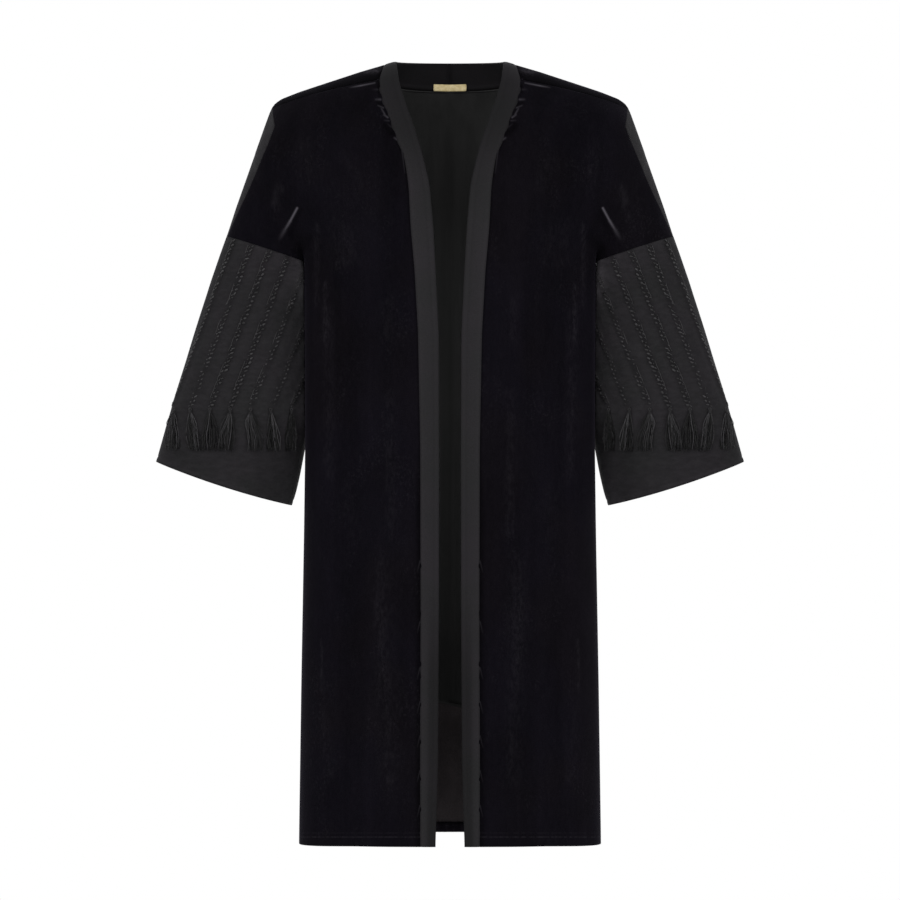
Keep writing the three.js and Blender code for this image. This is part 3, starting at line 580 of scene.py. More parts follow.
def crepe(name, lightness, crinkle=0.0):
    """Charcoal crepe: a fine pebbled weave of hard-twisted yarn, here greener and there redder."""
    color = tuple(lightness * c for c in (0.0207, 0.0197, 0.0213))
    cloth = Cloth(name, color, 0.75, 0.05, 0.02, (0.9, 0.9, 1.0))
    shifts = ((0.94, 0.965, 0.945), (1.065, 1.02, 1.07))
    tints = [tuple(c * t for c, t in zip(color, shift)) for shift in shifts]
    pebble = cloth.noise((1, 1, 1), 900, 2, 0.7)
    parts = [cloth.tone(cloth.noise((1, 1, 1), 14, 2), *tints), cloth.tone(pebble, 0.80, 1.22, 0.3, 0.7)]
    layers = [(pebble, 0.5, 0.0003)]
    layers += [(cloth.noise(stretch, 1500, 1), 0.3, 0.0002) for stretch in ((1, 1, 0.12), (0.12, 1, 1))]
    if crinkle:
        ripple = cloth.noise((0.7, 0.7, 1.8), 110, 3, 0.6)
        # The ripples' colour follows their bump: painted light and shade of the ripples
        parts.append(cloth.tone(ripple, 1 - crinkle, 1 + crinkle, 0.32, 0.68))
        layers.append((ripple, 0.5, 0.0016))
    # The kept shade is painted light and shade
    return cloth.finish(cloth.multiply(*parts, cloth.kept("shade")), layers)


def lining_cloth():
    """Smooth black lining with a faint up-and-down grain."""
    cloth = Cloth("lining", (0.05, 0.05, 0.05), 0.55, 0.1)
    grain = cloth.noise((60, 60, 1.5), 1.0)
    weave = cloth.noise((1, 1, 0.2), 1800, 1)
    # The kept shade is painted light and shade
    color = cloth.multiply(cloth.tone(grain, 0.045, 0.058), cloth.kept("shade"))
    return cloth.finish(color, [(weave, 0.3, 0.0002), (grain, 0.4, 0.002)])


def thread(name, color, roughness, specular):
    """Twisted silky thread; the shade kept on each thread makes some lighter than others, and on tassels it
    is painted light and shade among the threads and painted shade towards their feet.
    """
    cloth = Cloth(name, color, roughness, specular, 0.03)
    twist = cloth.noise((1, 1, 0.4), 900, 2)
    base = cloth.tone(twist, *spread(color, 0.35), 0.3, 0.7)
    return cloth.finish(cloth.multiply(base, cloth.kept("shade")), [(twist, 0.4, 0.0003)])


def label_satin():
    """Pale gold satin of the bare label."""
    cloth = Cloth("label", (0.62, 0.52, 0.28), 0.45, 0.3, 0.1)
    ribs = cloth.noise((0.15, 1, 1), 2600, 1)
    base = cloth.tone(cloth.noise((1, 1, 1), 160, 2), (0.51, 0.41, 0.195), (0.65, 0.545, 0.305))
    grain = cloth.tone(ribs, 0.85, 1.1, 0.3, 0.7)
    return cloth.finish(cloth.multiply(base, grain), [(ribs, 0.5, 0.0003)])


VELVET = velvet()
WRONG_SIDE = wrong_side()
CREPE = crepe("crepe", 0.65, crinkle=0.17)
BAND_CREPE = crepe("band_crepe", 0.77)
# A darker copy of the crepe for the band's inner side: painted shade
SHADED_BAND_INSIDE = crepe("band_inside_shaded", 0.47)
LINING = lining_cloth()
BRAID = thread("braid", (0.0235, 0.0225, 0.0240), 0.45, 0.25)
TASSEL = thread("tassel", (0.0145, 0.0139, 0.0151), 0.5, 0.18)
LABEL_SATIN = label_satin()


# Painted light and shade of each piece, as numbers kept on its points

PAINTED_SHEEN_STREAKS = [  # painted sheen streaks: from x, z to x, z as seen; half width; strength
    (168.7, -262, 168.7, -340, 2.6, 0.0034), (165, -300, 163, -520, 7.5, 0.0013),
    (180, -182, 180, -290, 3.5, 0.0019), (158, -180, 150, -236, 9.0, 0.0009),
    (138, -186, 132, -232, 8.0, 0.0009), (86, -285, 84, -335, 7.0, 0.0009),
    (82, -410, 80, -600, 6.5, 0.0015), (92, -635, 84, -930, 11.0, 0.0012),
    (98, -690, 90, -800, 5.0, 0.0012), (173, -743, 173, -812, 1.8, 0.0026),
    (140, -540, 132, -600, 10.0, 0.0006), (170, -840, 160, -930, 8.0, 0.0007),
    (228, -128, 238, -170, 6.0, 0.0014), (196, -70, 186, -130, 12.0, 0.0006),
    (140, -90, 120, -130, 10.0, 0.0006),
]
DARKS = [  # the same for places in shadow: beside the band, then in the folds over the arm
    (97, -3, 96, 8, 1.6, 0.5), (97, -17, 93, -22, 3.5, 0.5), (88, -48, 80, -58, 4.5, 0.5),
    (62, -88, 58.5, -115, 1.0, 0.5), (203, -162, 216, -196, 3.0, 0.28), (190, -200, 205, -216, 7.0, 0.28),
]
# Faint painted sheen everywhere on the velvet
PAINTED_SHEEN_BASE = 0.00035
UNSEEN = 5000.0


def nearness(x, z, row):
    """How near places lie to a streak, from 0 to 1."""
    x1, z1, x2, z2, half = row[:5]
    run = (x - x1) * (x2 - x1) + (z - z1) * (z2 - z1)
    share = np.clip(run / ((x2 - x1) ** 2 + (z2 - z1) ** 2), 0, 1)
    return bell(x - mix(x1, x2, share), half) * bell(z - mix(z1, z2, share), half)


def as_seen(x, y, z):
    """Places slid along the camera's sight lines on to the middle plane."""
    scale = CAMERA_AWAY / MM / (CAMERA_AWAY / MM + y)
    middle = CAMERA_HEIGHT / MM
    return x * scale, middle + (z - middle) * scale


def velvet_painted_light(piece, in_front):
    x, y, z = places(piece)
    sx, sz = as_seen(x, y, z)
    # Painted shade by height, darker towards the shoulders
    shade = np.interp(z, [-1012, -900, -400, -200, -60, 30], [0.97, 0.96, 1.00, 0.91, 0.83, 0.77])
    to_seam = z - seam_line(x)
    if in_front:
        # Painted shadow in a strip beside the band's seam, wider and deeper low down
        beside = sx - band_seam(z) * 1.02
        width = np.interp(z, [-560, -480], [5.0, 1.9])
        shade = shade * (1 - np.interp(z, [-560, -480], [0.55, 0.35]) * bell(beside - 2.2, width))
        for row in DARKS:
            shade = shade * (1 - row[5] * nearness(sx, sz, row))
        # Painted shade along the shoulder seam
        shade = shade * (1 - 0.6 * bell(to_seam, 1.6) * (x > 100))
        # Painted sheen: streaks, and a faint level everywhere
        painted_sheen = sum(row[5] * nearness(sx, sz, row) for row in PAINTED_SHEEN_STREAKS) + PAINTED_SHEEN_BASE
        seen = np.stack([sx, sz, np.zeros_like(sx)], -1)
    else:
        # On the back: painted shade where it laps over the shoulder, darker along its edge
        lap = smooth((3 - y) / 4) * smooth((z + 60) / 20)
        shade = shade * (1 - 0.62 * lap) * (1 - 0.5 * bell(to_seam, 1.4) * lap)
        # Painted sheen, fainter on the lap, and a painted highlight on the lap beside the neck
        wander = 0.6 + 0.4 * np.sin(x / 13 + np.sin(z / 90)) * np.sin(z / 140 + x / 60)
        bright = 0.012 * nearness(sx, sz, (112, 24.5, 98, 26.5, 3.0)) * lap
        painted_sheen = 2 * PAINTED_SHEEN_BASE * (1 - 0.7 * lap) * wander + bright
        seen = np.full((len(x), 3), UNSEEN)
        if piece.name.startswith("back_hem_turn"):
            # On the hem turn: painted sheen in specks, and the turn painted lighter
            specks = np.clip(np.sin(x / 3.1 + np.sin(x / 7.7) * 2) - 0.3, 0, 1)
            painted_sheen = 0.006 * specks * (z > HEM_FRONT + 4)
            shade = shade * 1.2
    paint(piece, "shade", shade)
    paint(piece, "painted_sheen", painted_sheen)
    # Painted light on the velvet's wrong side, lighter just below the lining's hem
    paint(piece, "inside", 1 + 0.4 * bell(z - LINING_HEM + 4, 15))
    layer = piece.data.attributes.new("seen", "FLOAT_VECTOR", "POINT")
    layer.data.foreach_set("vector", seen.ravel())


# Painted light and shade: tables with a place and its shade in each pair
# Across the band, from its seam to its free edge: painted light and shade of its folded layers
BAND_FOLD_SHADE = [
    (0, 0.9), (0.06, 1.13), (0.2, 1.03), (0.62, 0.97), (0.72, 0.88), (0.8, 1.0), (0.9, 0.97), (1, 0.8),
]
# Up the band: painted shade, darker towards the neck
BAND_HEIGHTS = [
    (-1010, 0.93), (-850, 0.86), (-650, 0.94), (-200, 1.02), (-120, 0.87), (-60, 0.65), (10, 0.58),
    (40, 0.64),
]
# Inside the neck: a painted shadow at the seam with a painted highlight line above it, and painted shade
# towards the middle of the back
NECK_SEAM_SHADE = [(-0.1, 0.1), (0.0, 0.12), (0.03, 0.5), (0.075, 1.5), (0.12, 1.25), (0.2, 0.95), (1, 0.85)]
NECK_MIDDLE = [(0, 0.64), (30, 0.70), (60, 1.0)]
# Down the lining: painted light and shade by height, lightest at mid height and darkest at the neck and the
# hem
LINING_HEIGHTS = [
    (-845, 0.32), (-760, 0.56), (-690, 1.02), (-420, 1.94), (-300, 1.52), (-150, 0.66), (-60, 0.48),
    (20, 0.42),
]


def along_row(at, pairs):
    return np.interp(at, *zip(*pairs))


def band_painted_light(piece):
    x, y, z = places(piece)
    share = np.clip((band_seam(z) - x) / (band_seam(z) - band_free(z)), 0, 1)
    # Painted light and shade across the band and by height
    ribs = along_row(share, BAND_FOLD_SHADE)
    up = along_row(z, BAND_HEIGHTS)
    # Painted shade on the half towards the band's free edge, low down
    low = 1 - 0.32 * smooth((share - 0.25) / 0.3) * smooth((-650 - z) / 150)
    # A painted highlight line across the band near the shoulder
    crossing_line = 0.55 * bell(z - 27 - (95 - x) * 0.35, 1.3) * (y < 6)
    shade = ribs * up * low * (1 + crossing_line)
    # Inside the neck: painted shadow at the seam, a painted highlight line above it, and painted shade
    # towards the middle
    inner = np.arange(len(x)) >= len(x) // 2
    around = inner & (y > -2) & (z > 3)
    theta = np.arctan2(y / NECK_BACK_FREE[0], x / NECK_SIDE_FREE[0])
    _, seam_z = neck_seam(np.clip(theta, 0, math.pi / 2))
    height = (z - seam_z) / (NECK_BACK_FREE[1] - seam_z)
    within = np.where(around, along_row(height, NECK_SEAM_SHADE) * along_row(x, NECK_MIDDLE), 1.0)
    paint(piece, "shade", np.where(inner, within, shade))


def line_apart(w):
    """How far a place across the sleeve lies from the nearest braid line."""
    beside = (w - BRAID_MIDDLE) / BRAID_PITCH
    return (beside - np.round(beside)) * BRAID_PITCH


def sleeve_painted_light(piece):
    x, y, z = places(piece)
    w = across(x, z)
    inner = np.clip((w - 60) / 150, 0, 1)
    beside = (w - BRAID_MIDDLE) / BRAID_PITCH
    line = bell(line_apart(w), 4.5) * smooth((z - BRAID_END_Z) / 5) * (np.abs(beside) < 3.4)
    # Painted light and shade: lighter towards the body side, painted shadow along the braid lines, darker
    # towards the cuff
    shade = mix(1.18, 0.93, inner) * (1 - 0.28 * line)
    shade = shade * mix(0.87, 1, smooth((z - BRAID_END_Z + TASSEL_LENGTH) / 40))
    # Painted light where the sleeve meets the body, on its front
    beyond = x - np.maximum(body_width(z), sleeve_inner(z))
    near_body = 2.4 * bell(beyond, 8) + mix(0.6, 1.1, smooth((-380 - z) / 60)) * bell(beyond, 20)
    near_body = near_body * smooth((30 - y) / 25)
    # A painted highlight line just above the cuff's hem, painted shade at its edge, and a painted highlight
    # line along the drop seam
    hem = cuff_l(w) - along(x, z)
    light_hem = 0.22 * bell(hem - 4.5, 1.6) - 0.25 * bell(hem, 1.2)
    seam = 0.16 * bell(along(x, z) - drop_l(w) - 3, 4)
    paint(piece, "shade", shade * (1 + near_body) * (1 + light_hem + seam))


def lining_painted_light(piece):
    x, _, z = places(piece)
    # Painted light and shade by height, a little darker down the middle seam, and painted shade along the
    # hem
    shade = along_row(z, LINING_HEIGHTS) * (1 - 0.1 * bell(x, 1.2)) * np.where(z < LINING_HEM + 6, 0.4, 1)
    paint(piece, "shade", shade)


# Panels

def crowd(count):
    """Shares from 0 to 1, closer together towards 1."""
    return np.sin(np.linspace(0, 1, count + 1) * math.pi / 2)


def both_crowd(count):
    """Shares from 0 to 1, closer together towards both ends."""
    return (1 - np.cos(np.linspace(0, 1, count + 1) * math.pi)) / 2


def seam_line(x):
    t = (x - SEAM_NECK[0]) / (SEAM_TIP[0] - SEAM_NECK[0])
    return mix(SEAM_NECK[1], SEAM_TIP[1], t) + 3 * np.sin(math.pi * np.clip(t, 0, 1))


ROWS_ABOVE = 90
ROWS_BELOW = 174
COLUMNS_FRONT = 72
COLUMNS_ARM = 40
FALLS_ABOVE = np.linspace(0, 1, ROWS_ABOVE + 1) ** 1.15
FALLS_BELOW = np.linspace(0, 1, ROWS_BELOW + 1)[1:]


def row_ends(fall, tip_x, tip_z):
    outer_z = mix(SEAM_TIP[1], DROP_SEAM_OUTER[1], fall)
    pit = (mix(tip_x, ARMPIT_X, fall), mix(tip_z, ARMPIT_Z, fall))
    return pit, (arm_edge(outer_z), outer_z)


def strip_start(fall, ends):
    (px, pz), (ox, oz) = ends
    keys, widths = zip(*STRIP)
    return 1 - np.interp(fall, keys, widths) / math.hypot(ox - px, oz - pz)


def lower_places(inner_at, shares, fall):
    """Places below the armpit at shares of the way out from an inner edge; the last is the side seam."""
    z = np.full_like(shares, mix(ARMPIT_Z, HEM_FRONT, fall))
    x = z
    for _ in range(5):
        x = mix(inner_at(z), body_width(z), shares)
        z = mix(ARMPIT_Z, hem_z(x), fall)
    return x, z


def front_places():
    """Grid of places of the front panel, and which of its cells are kept."""
    xs, zs = [], []
    shares = both_crowd(COLUMNS_FRONT)
    for fall in FALLS_ABOVE:
        ends = row_ends(fall, FRONT_TIP_X, float(seam_line(FRONT_TIP_X)))
        (px, pz), (ox, oz) = ends
        seam_z = mix(SEAM_NECK[1], ARMPIT_Z, fall)
        x = mix(band_seam(seam_z), px, shares)
        z = seam_line(x) if fall == 0 else mix(seam_z, pz, shares)
        arm = both_crowd(COLUMNS_ARM)[1:] * strip_start(fall, ends)
        xs.append(np.concatenate([x, mix(px, ox, arm)]))
        zs.append(np.concatenate([z, mix(pz, oz, arm)]))
    pad = np.zeros(COLUMNS_ARM)
    for fall in FALLS_BELOW:
        x, z = lower_places(band_seam, shares, fall)
        xs.append(np.concatenate([x, pad + x[-1]]))
        zs.append(np.concatenate([z, pad + z[-1]]))
    keep = np.ones((ROWS_ABOVE + ROWS_BELOW, COLUMNS_FRONT + COLUMNS_ARM), bool)
    keep[ROWS_ABOVE:, COLUMNS_FRONT:] = False
    return np.array(xs), np.array(zs), keep


def front_panel(side, mirrored):
    x, z, keep = front_places()
    points, normals = on_body(x, z, -1, SEAM_GAP)
    points[ROWS_ABOVE:, COLUMNS_FRONT, 1] = -SEAM_GAP
    normals[ROWS_ABOVE:, COLUMNS_FRONT] = drop_part(normals[ROWS_ABOVE:, COLUMNS_FRONT], (0, 1, 0))
    normals[ROWS_ABOVE, COLUMNS_FRONT + 1:] = drop_part(normals[ROWS_ABOVE, COLUMNS_FRONT + 1:], DOWN_SLEEVE)
    piece = shell(f"front_{side}_velvet", points, normals, VELVET_WALL, mirrored=mirrored, keep=keep,
                  inside=WRONG_SIDE)
    velvet_painted_light(piece, True)
    return dress(piece, VELVET, "velvet", f"front_{side}")


COLUMNS_NECK = 26
COLUMNS_BACK = 50
ROWS_LAP = 16
NECK_TURNS = np.linspace(0, 1, COLUMNS_NECK + 1) ** 1.8 * math.pi / 2


def neck_seam(turn):
    x = NECK_SIDE[0] * np.cos(turn)
    z = mix(NECK_SIDE[1], NECK_BACK_SEAM_Z, np.sin(turn) ** NECK_SEAM_POWER)
    return x, z


def back_half():
    """Points and directions of half the back, from the middle out, and the cells that are kept."""
    neck_x, neck_z = neck_seam(NECK_TURNS[:0:-1])
    share = crowd(COLUMNS_BACK)
    shoulder_x = mix(NECK_SIDE[0], BACK_TIP_X, share)
    top_x = np.concatenate([neck_x, shoulder_x])
    top_z = np.concatenate([neck_z, ridge_z(shoulder_x)])
    seam_x = np.concatenate([neck_x, mix(SEAM_NECK[0], BACK_TIP_X + 1, share)])
    seam_z = np.concatenate([neck_z, seam_line(seam_x[COLUMNS_NECK:]) - LAP_OVER])
    rows = []
    for up in np.linspace(0, 1, ROWS_LAP + 1)[:-1]:
        lifted = SEAM_GAP + 0.24 * math.sin(math.pi * up) + 0.3 * (1 - up)
        rows.append(on_body(mix(seam_x, top_x, up), mix(seam_z, top_z, up), -1, lifted))
    count = COLUMNS_NECK + COLUMNS_BACK
    out = crowd(count)
    for n, fall in enumerate(FALLS_ABOVE):
        x = mix(top_x, out * ARMPIT_X, fall)
        z = mix(top_z, ARMPIT_Z, fall)
        points, normals = on_body(x, z, 1, SEAM_GAP)
        if n == 0:
            points[COLUMNS_NECK:, 1] = 0
            normals[COLUMNS_NECK:] = drop_part(normals[COLUMNS_NECK:], (0, 1, 0))
        rows.append((points, normals))
    for fall in FALLS_BELOW:
        x, z = lower_places(lambda height: 0 * height, out, fall)
        points, normals = on_body(x, z, 1, SEAM_GAP)
        points[-1, 1] = -SEAM_GAP
        normals[-1] = drop_part(normals[-1], (0, 1, 0))
        rows.append((points, normals))
    points, normals = (np.array(part) for part in zip(*rows))
    keep = np.ones((len(rows) - 1, count), bool)
    keep[:ROWS_LAP, :COLUMNS_NECK] = False
    return points, normals, keep


def whole_back():
    points, normals, keep = back_half()
    points, normals = (np.concatenate([half[:, :0:-1] * (-1, 1, 1), half], 1) for half in (points, normals))
    return points, normals, np.concatenate([keep[:, ::-1], keep], 1)


def row_at(height):
    """Row of the back's grid that lies nearest to a height on the middle line."""
    points, _, _ = BACK
    middle = points.shape[1] // 2
    heights = points[ROWS_LAP + 1:, middle, 2]
    return ROWS_LAP + 1 + int(np.argmin(np.abs(heights - height)))


BACK = whole_back()


def back_panel():
    points, normals, keep = BACK
    piece = shell("back_velvet", points, normals, VELVET_WALL, turned=True, keep=keep, inside=WRONG_SIDE)
    velvet_painted_light(piece, False)
    return dress(piece, VELVET, "velvet", "back")


def lining_form(points, normals):
    """The lining hangs in soft upright waves, with a seam down its middle."""
    x, z = points[..., 0], points[..., 2]
    fall = smooth((NECK_BACK_SEAM_Z - z) / 120)
    waves = 0.8 * np.sin(x / 9.0 + np.sin(z / 160) * 1.5) + 0.5 * np.sin(x / 4.7 + z / 230)
    lift = np.abs(waves) * -0.9 * fall - 0.4 * bell(x, 2.0) - 0.2
    points = points.copy()
    points[..., 2] -= HEM_WAVER * np.sin(x / 19) * smooth((LINING_HEM + 60 - z) / 60)
    return points + unit(normals) * lift[..., None]


def back_lining():
    points, normals, keep = BACK
    last = row_at(LINING_HEM)
    margin = 3
    cells = np.zeros_like(keep)
    cells[ROWS_LAP + 3:last, margin:-margin] = True
    middle = points.shape[1] // 2
    neck = slice(middle - COLUMNS_NECK + 5, middle + COLUMNS_NECK - 5)
    cells[ROWS_LAP:ROWS_LAP + 3, neck] = True
    piece = shell("back_lining_cloth", lining_form(points, normals), normals, LINING_WALL, turned=True,
                  sink=VELVET_WALL + LINING_AIR, keep=cells)
    lining_painted_light(piece)
    return dress(piece, LINING, "lining", "back_lining")


def back_hem_turn():
    points, normals, keep = BACK
    first = row_at(HEM_FRONT + HEM_TURN)
    cells = np.zeros_like(keep)
    cells[first:, 3:-3] = True
    x, z = points[..., 0], points[..., 2]
    uneven = 0.35 * np.sin(x / 5.2) + 0.3 * np.sin(x / 2.3 + z / 3)
    lifted = points + unit(normals) * (uneven - 0.35)[..., None]
    piece = shell("back_hem_turn_velvet", lifted, normals, VELVET_WALL * 0.8, turned=True,
                  sink=VELVET_WALL + 0.3, keep=cells)
    velvet_painted_light(piece, False)
    return dress(piece, VELVET, "velvet", "back_hem_turn")


BAND_COLUMNS = 14
BAND_TUCK = -0.1
BAND_TUCK_SINK = 0.7
BAND_BLEND = 10


def band_neck_spot(turn, share):
    below_x, below_z = neck_seam(turn)
    seam_y = 0.0 if turn == 0 else float(depth(np.array(below_x), np.array(below_z)))
    free_x = NECK_SIDE_FREE[0] * math.cos(turn)
    free_y = NECK_BACK_FREE[0] * math.sin(turn)
    free_z = mix(NECK_SIDE_FREE[1], NECK_BACK_FREE[1], math.sin(turn))
    seam = (below_x - SEAM_GAP * math.cos(turn), seam_y, below_z + SEAM_GAP)
    return np.stack([mix(a, b, share) for a, b in zip(seam, (free_x, free_y, free_z))], -1)


def band_grid():
    share = np.concatenate([[BAND_TUCK], np.linspace(0, 1, BAND_COLUMNS + 1)])
    rows = []
    below = mix(ARMPIT_Z, HEM_FRONT, FALLS_BELOW)[::-1]
    heights = np.concatenate([below, mix(SEAM_NECK[1], ARMPIT_Z, FALLS_ABOVE)[::-1]])
    for z in heights:
        rows.append(plain_front(mix(band_seam(z) - SEAM_GAP, band_free(z), share), np.full_like(share, z)))
    seam_free = float(band_free(SEAM_NECK[1]))
    for up in np.linspace(0, 1, ROWS_LAP + 1)[1:-1]:
        seam_x = mix(SEAM_NECK[0], NECK_SIDE[0], up) - SEAM_GAP
        free_x = mix(seam_free, NECK_SIDE_FREE[0], up)
        seam_z, free_z = mix(SEAM_NECK[1], NECK_SIDE[1], up), mix(SEAM_NECK[1], NECK_SIDE_FREE[1], up)
        rows.append(plain_front(mix(seam_x, free_x, share), mix(seam_z, free_z, share)))
    given = [unit(row[1]) for row in rows]
    points = np.array([row[0] for row in rows] + [band_neck_spot(turn, share) for turn in NECK_TURNS])
    normals = unit(grid_normals(points, False))
    for n, direction in enumerate(given):
        weight = smooth((len(given) - n) / BAND_BLEND)
        normals[n] = mix(normals[n], direction, weight)
    normals[-1] = drop_part(normals[-1], (1, 0, 0))
    return points, normals, share


def band(side, mirrored):
    points, normals, share = band_grid()
    pillow = np.where(share < 0, -BAND_TUCK_SINK, 1.1 * (1 - np.abs(2 * share - 1) ** 3) - 0.5)
    rows = np.arange(len(points))[:, None]
    uneven = 0.25 * np.sin(rows / 7.3) * np.sin(rows / 3.1 + 1) * np.sin(np.clip(share, 0, 1) * math.pi)
    lifted = points + unit(normals) * (pillow + uneven)[..., None]
    piece = shell(f"band_{side}_crepe", lifted, normals, BAND_WALL, mirrored=mirrored, inside=SHADED_BAND_INSIDE)
    band_painted_light(piece)
    return dress(piece, BAND_CREPE, "crepe", f"band_{side}", f"neck_band_{side}")


def upper_back(side, mirrored):
    strip_columns, arm_columns = 14, 50
    rows, faces = [], []
    for fall in FALLS_ABOVE:
        ends = row_ends(fall, FRONT_TIP_X, float(seam_line(FRONT_TIP_X)))
        (px, pz), (ox, oz) = ends
        length = math.hypot(ox - px, oz - pz)
        t = mix(strip_start(fall, ends) + SEAM_GAP / length, 1, crowd(strip_columns))
        front, front_faces = plain_front(mix(px, ox, t), mix(pz, oz, t))
        front[:, 1] += SEAM_GAP
        front[-1, 1] = 0
        front_faces[-1] = drop_part(front_faces[-1], (0, 1, 0))
        (px, pz), (ox, oz) = row_ends(fall, BACK_TIP_X, float(ridge_z(BACK_TIP_X)))
        inset = 2 * SEAM_GAP / math.hypot(ox - px, oz - pz)
        t = mix(1, inset, both_crowd(arm_columns)[1:])
        behind, behind_faces = on_body(mix(px, ox, t), mix(pz, oz, t), 1, SEAM_GAP)
        rows.append(np.concatenate([front, behind]))
        faces.append(np.concatenate([front_faces, behind_faces]))
    points, normals = np.array(rows), np.array(faces)
    normals[-1] = drop_part(normals[-1], DOWN_SLEEVE)
    piece = shell(f"upper_sleeve_back_{side}_crepe", points, normals, CREPE_WALL, mirrored=mirrored)
    paint(piece, "shade", np.ones(len(piece.data.vertices)))
    return dress(piece, CREPE, "crepe", f"upper_sleeve_back_{side}")


# Lower sleeve

def tassel_l(w):
    return (w * SIN - BRAID_END_Z) / COS


CUFF_INNER_WL = (across(*CUFF_INNER), along(*CUFF_INNER))
CUFF_OUTER_WL = (across(*CUFF_OUTER), along(*CUFF_OUTER))


def cuff_l(w):
    t = (w - CUFF_INNER_WL[0]) / (CUFF_OUTER_WL[0] - CUFF_INNER_WL[0])
    return mix(CUFF_INNER_WL[1], CUFF_OUTER_WL[1], t) + 3 * np.sin(math.pi * np.clip(t, 0, 1))


SLEEVE_ROWS = 90
CUFF_ROWS = 44
SLEEVE_COLUMNS = 110
INNER_SPAN = (-60, 150)
OUTER_SPAN = (140, 280)


def ring_l(row, w):
    if row <= SLEEVE_ROWS:
        return mix(drop_l(w) + SEAM_GAP, tassel_l(w), row / SLEEVE_ROWS)
    return mix(tassel_l(w), cuff_l(w), (row - SLEEVE_ROWS) / CUFF_ROWS)


def crossing(l_at, edge, low, high):
    """Place across a ring where it meets an edge, by halving."""
    for _ in range(40):
        w = (low + high) / 2
        l = l_at(w)
        if sleeve_x(w, l) < edge(sleeve_z(w, l)):
            low = w
        else:
            high = w
    return (low + high) / 2


def body_reach(y, z):
    return body_width(z) * superellipse(np.abs(y) / body_depth(z), BODY_CORNER)


def sleeve_surface(l_at, inner, outer, t, face):
    """Points of the sleeve at shares across a ring, in front (face -1) or behind (face +1)."""
    w = mix(inner, outer, t)
    l = l_at(w)
    x = sleeve_x(w, l)
    z = sleeve_z(w, l)
    fall = np.clip((l - drop_l(w)) / (cuff_l(w) - drop_l(w)), 0, 1)
    rounded = (1 - np.abs(2 * t - 1) ** SLEEVE_CORNER) ** (1 / SLEEVE_CORNER)
    middle = SLEEVE_FORWARD * smooth(fall / 0.3) + SLEEVE_TUCK * smooth(fall / 0.22) * (1 - t) ** 3
    half = mix(ARM_HALF_DEPTH, CUFF_HALF_DEPTH, fall)
    drop_x = mix(ARMPIT_X, DROP_SEAM_OUTER[0], t)
    drop_z = mix(ARMPIT_Z, DROP_SEAM_OUTER[1], t)
    at_seam = face * depth(drop_x, drop_z)
    y = mix(at_seam, middle + face * half * rounded, smooth(fall / 0.16))
    x = np.where(fall > 0.002, np.maximum(x, body_reach(y, z) + SLEEVE_AIR), x)
    return np.stack([x, y, z], -1)


def sides_of(l_at):
    """Where a ring meets the sleeve's inner and outer edges, across the sleeve."""
    return crossing(l_at, sleeve_inner, *INNER_SPAN), crossing(l_at, arm_edge, *OUTER_SPAN)


def on_ring(l_at, w, face):
    """Place of the sleeve's outer surface on one ring, in front or behind."""
    inner, outer = sides_of(l_at)
    t = np.array([min(max((w - inner) / (outer - inner), 0.0), 1.0)])
    return sleeve_surface(l_at, inner, outer, t, face)[0]


def sleeve_ring(row):
    l_at = lambda w: ring_l(row, w)
    inner, outer = sides_of(l_at)
    t = both_crowd(SLEEVE_COLUMNS)
    front = sleeve_surface(l_at, inner, outer, t, -1)
    behind = sleeve_surface(l_at, inner, outer, t[-2:0:-1], 1)
    return np.concatenate([front, behind])


def sleeve_relief(points):
    """Small form of the sleeve: cloth drawn in along the braid, soft waves, and the cuff's stitched hem."""
    x, z = points[..., 0], points[..., 2]
    w, l = across(x, z), along(x, z)
    nearest = line_apart(w)
    above = smooth((z - BRAID_END_Z + 2) / 6)
    line = (0.55 * bell(nearest, 3.0) - 0.35 * bell(np.abs(nearest) - 5.5, 2.2)) * above
    to_hem = cuff_l(w) - l
    hem = 0.35 * smooth((CUFF_STITCH - to_hem) / 3) - 0.5 * bell(to_hem - CUFF_STITCH, 1.3)
    wave = 1.1 * np.sin(w / 17 + l / 130) * smooth((l - DROP_L) / 160)
    return line + hem + wave


def lower_sleeve(side, mirrored):
    points = np.array([sleeve_ring(row) for row in range(SLEEVE_ROWS + CUFF_ROWS + 1)])
    normals = grid_normals(points, True)
    normals[0] = drop_part(normals[0], DOWN_SLEEVE)
    settle = smooth(np.arange(len(points)) / 6)[:, None, None]
    lifted = points + unit(normals) * sleeve_relief(points)[..., None] * settle
    piece = shell(f"sleeve_{side}_crepe", lifted, normals, CREPE_WALL, ring=True, mirrored=mirrored)
    sleeve_painted_light(piece)
    return dress(piece, CREPE, "crepe", f"sleeve_{side}")


def surface_at(x, z, face):
    """Place of the sleeve's outer surface at one x and z, in front or behind."""
    w0, l0 = across(x, z), along(x, z)
    return on_ring(lambda w: l0 + (w - w0) * SIN / COS, w0, face)


def sleeve_place(w, l, face):
    """Place of the braided sleeve's outer surface, in front or behind, as its rings have it."""
    share = (l - drop_l(w)) / (tassel_l(w) - drop_l(w))
    return Vector(on_ring(lambda v: mix(drop_l(v), tassel_l(v), share), w, face))


# Braid: two rows of slanting stitches on each line

def ring_faces(rings, sides, first=0, closed=False):
    """Faces between rings of points that follow one another."""
    faces = []
    for n in range(rings if closed else rings - 1):
        low = first + n * sides
        high = first + (n + 1) % rings * sides
        for k in range(sides):
            after = (k + 1) % sides
            faces.append((low + k, low + after, high + after, high + k))
    return faces


def ring_points(radius, sides, z=0.0):
    """A ring of points round the upright axis."""
    turns = (2 * math.pi * k / sides for k in range(sides))
    return [Vector((radius * math.cos(turn), radius * math.sin(turn), z)) for turn in turns]


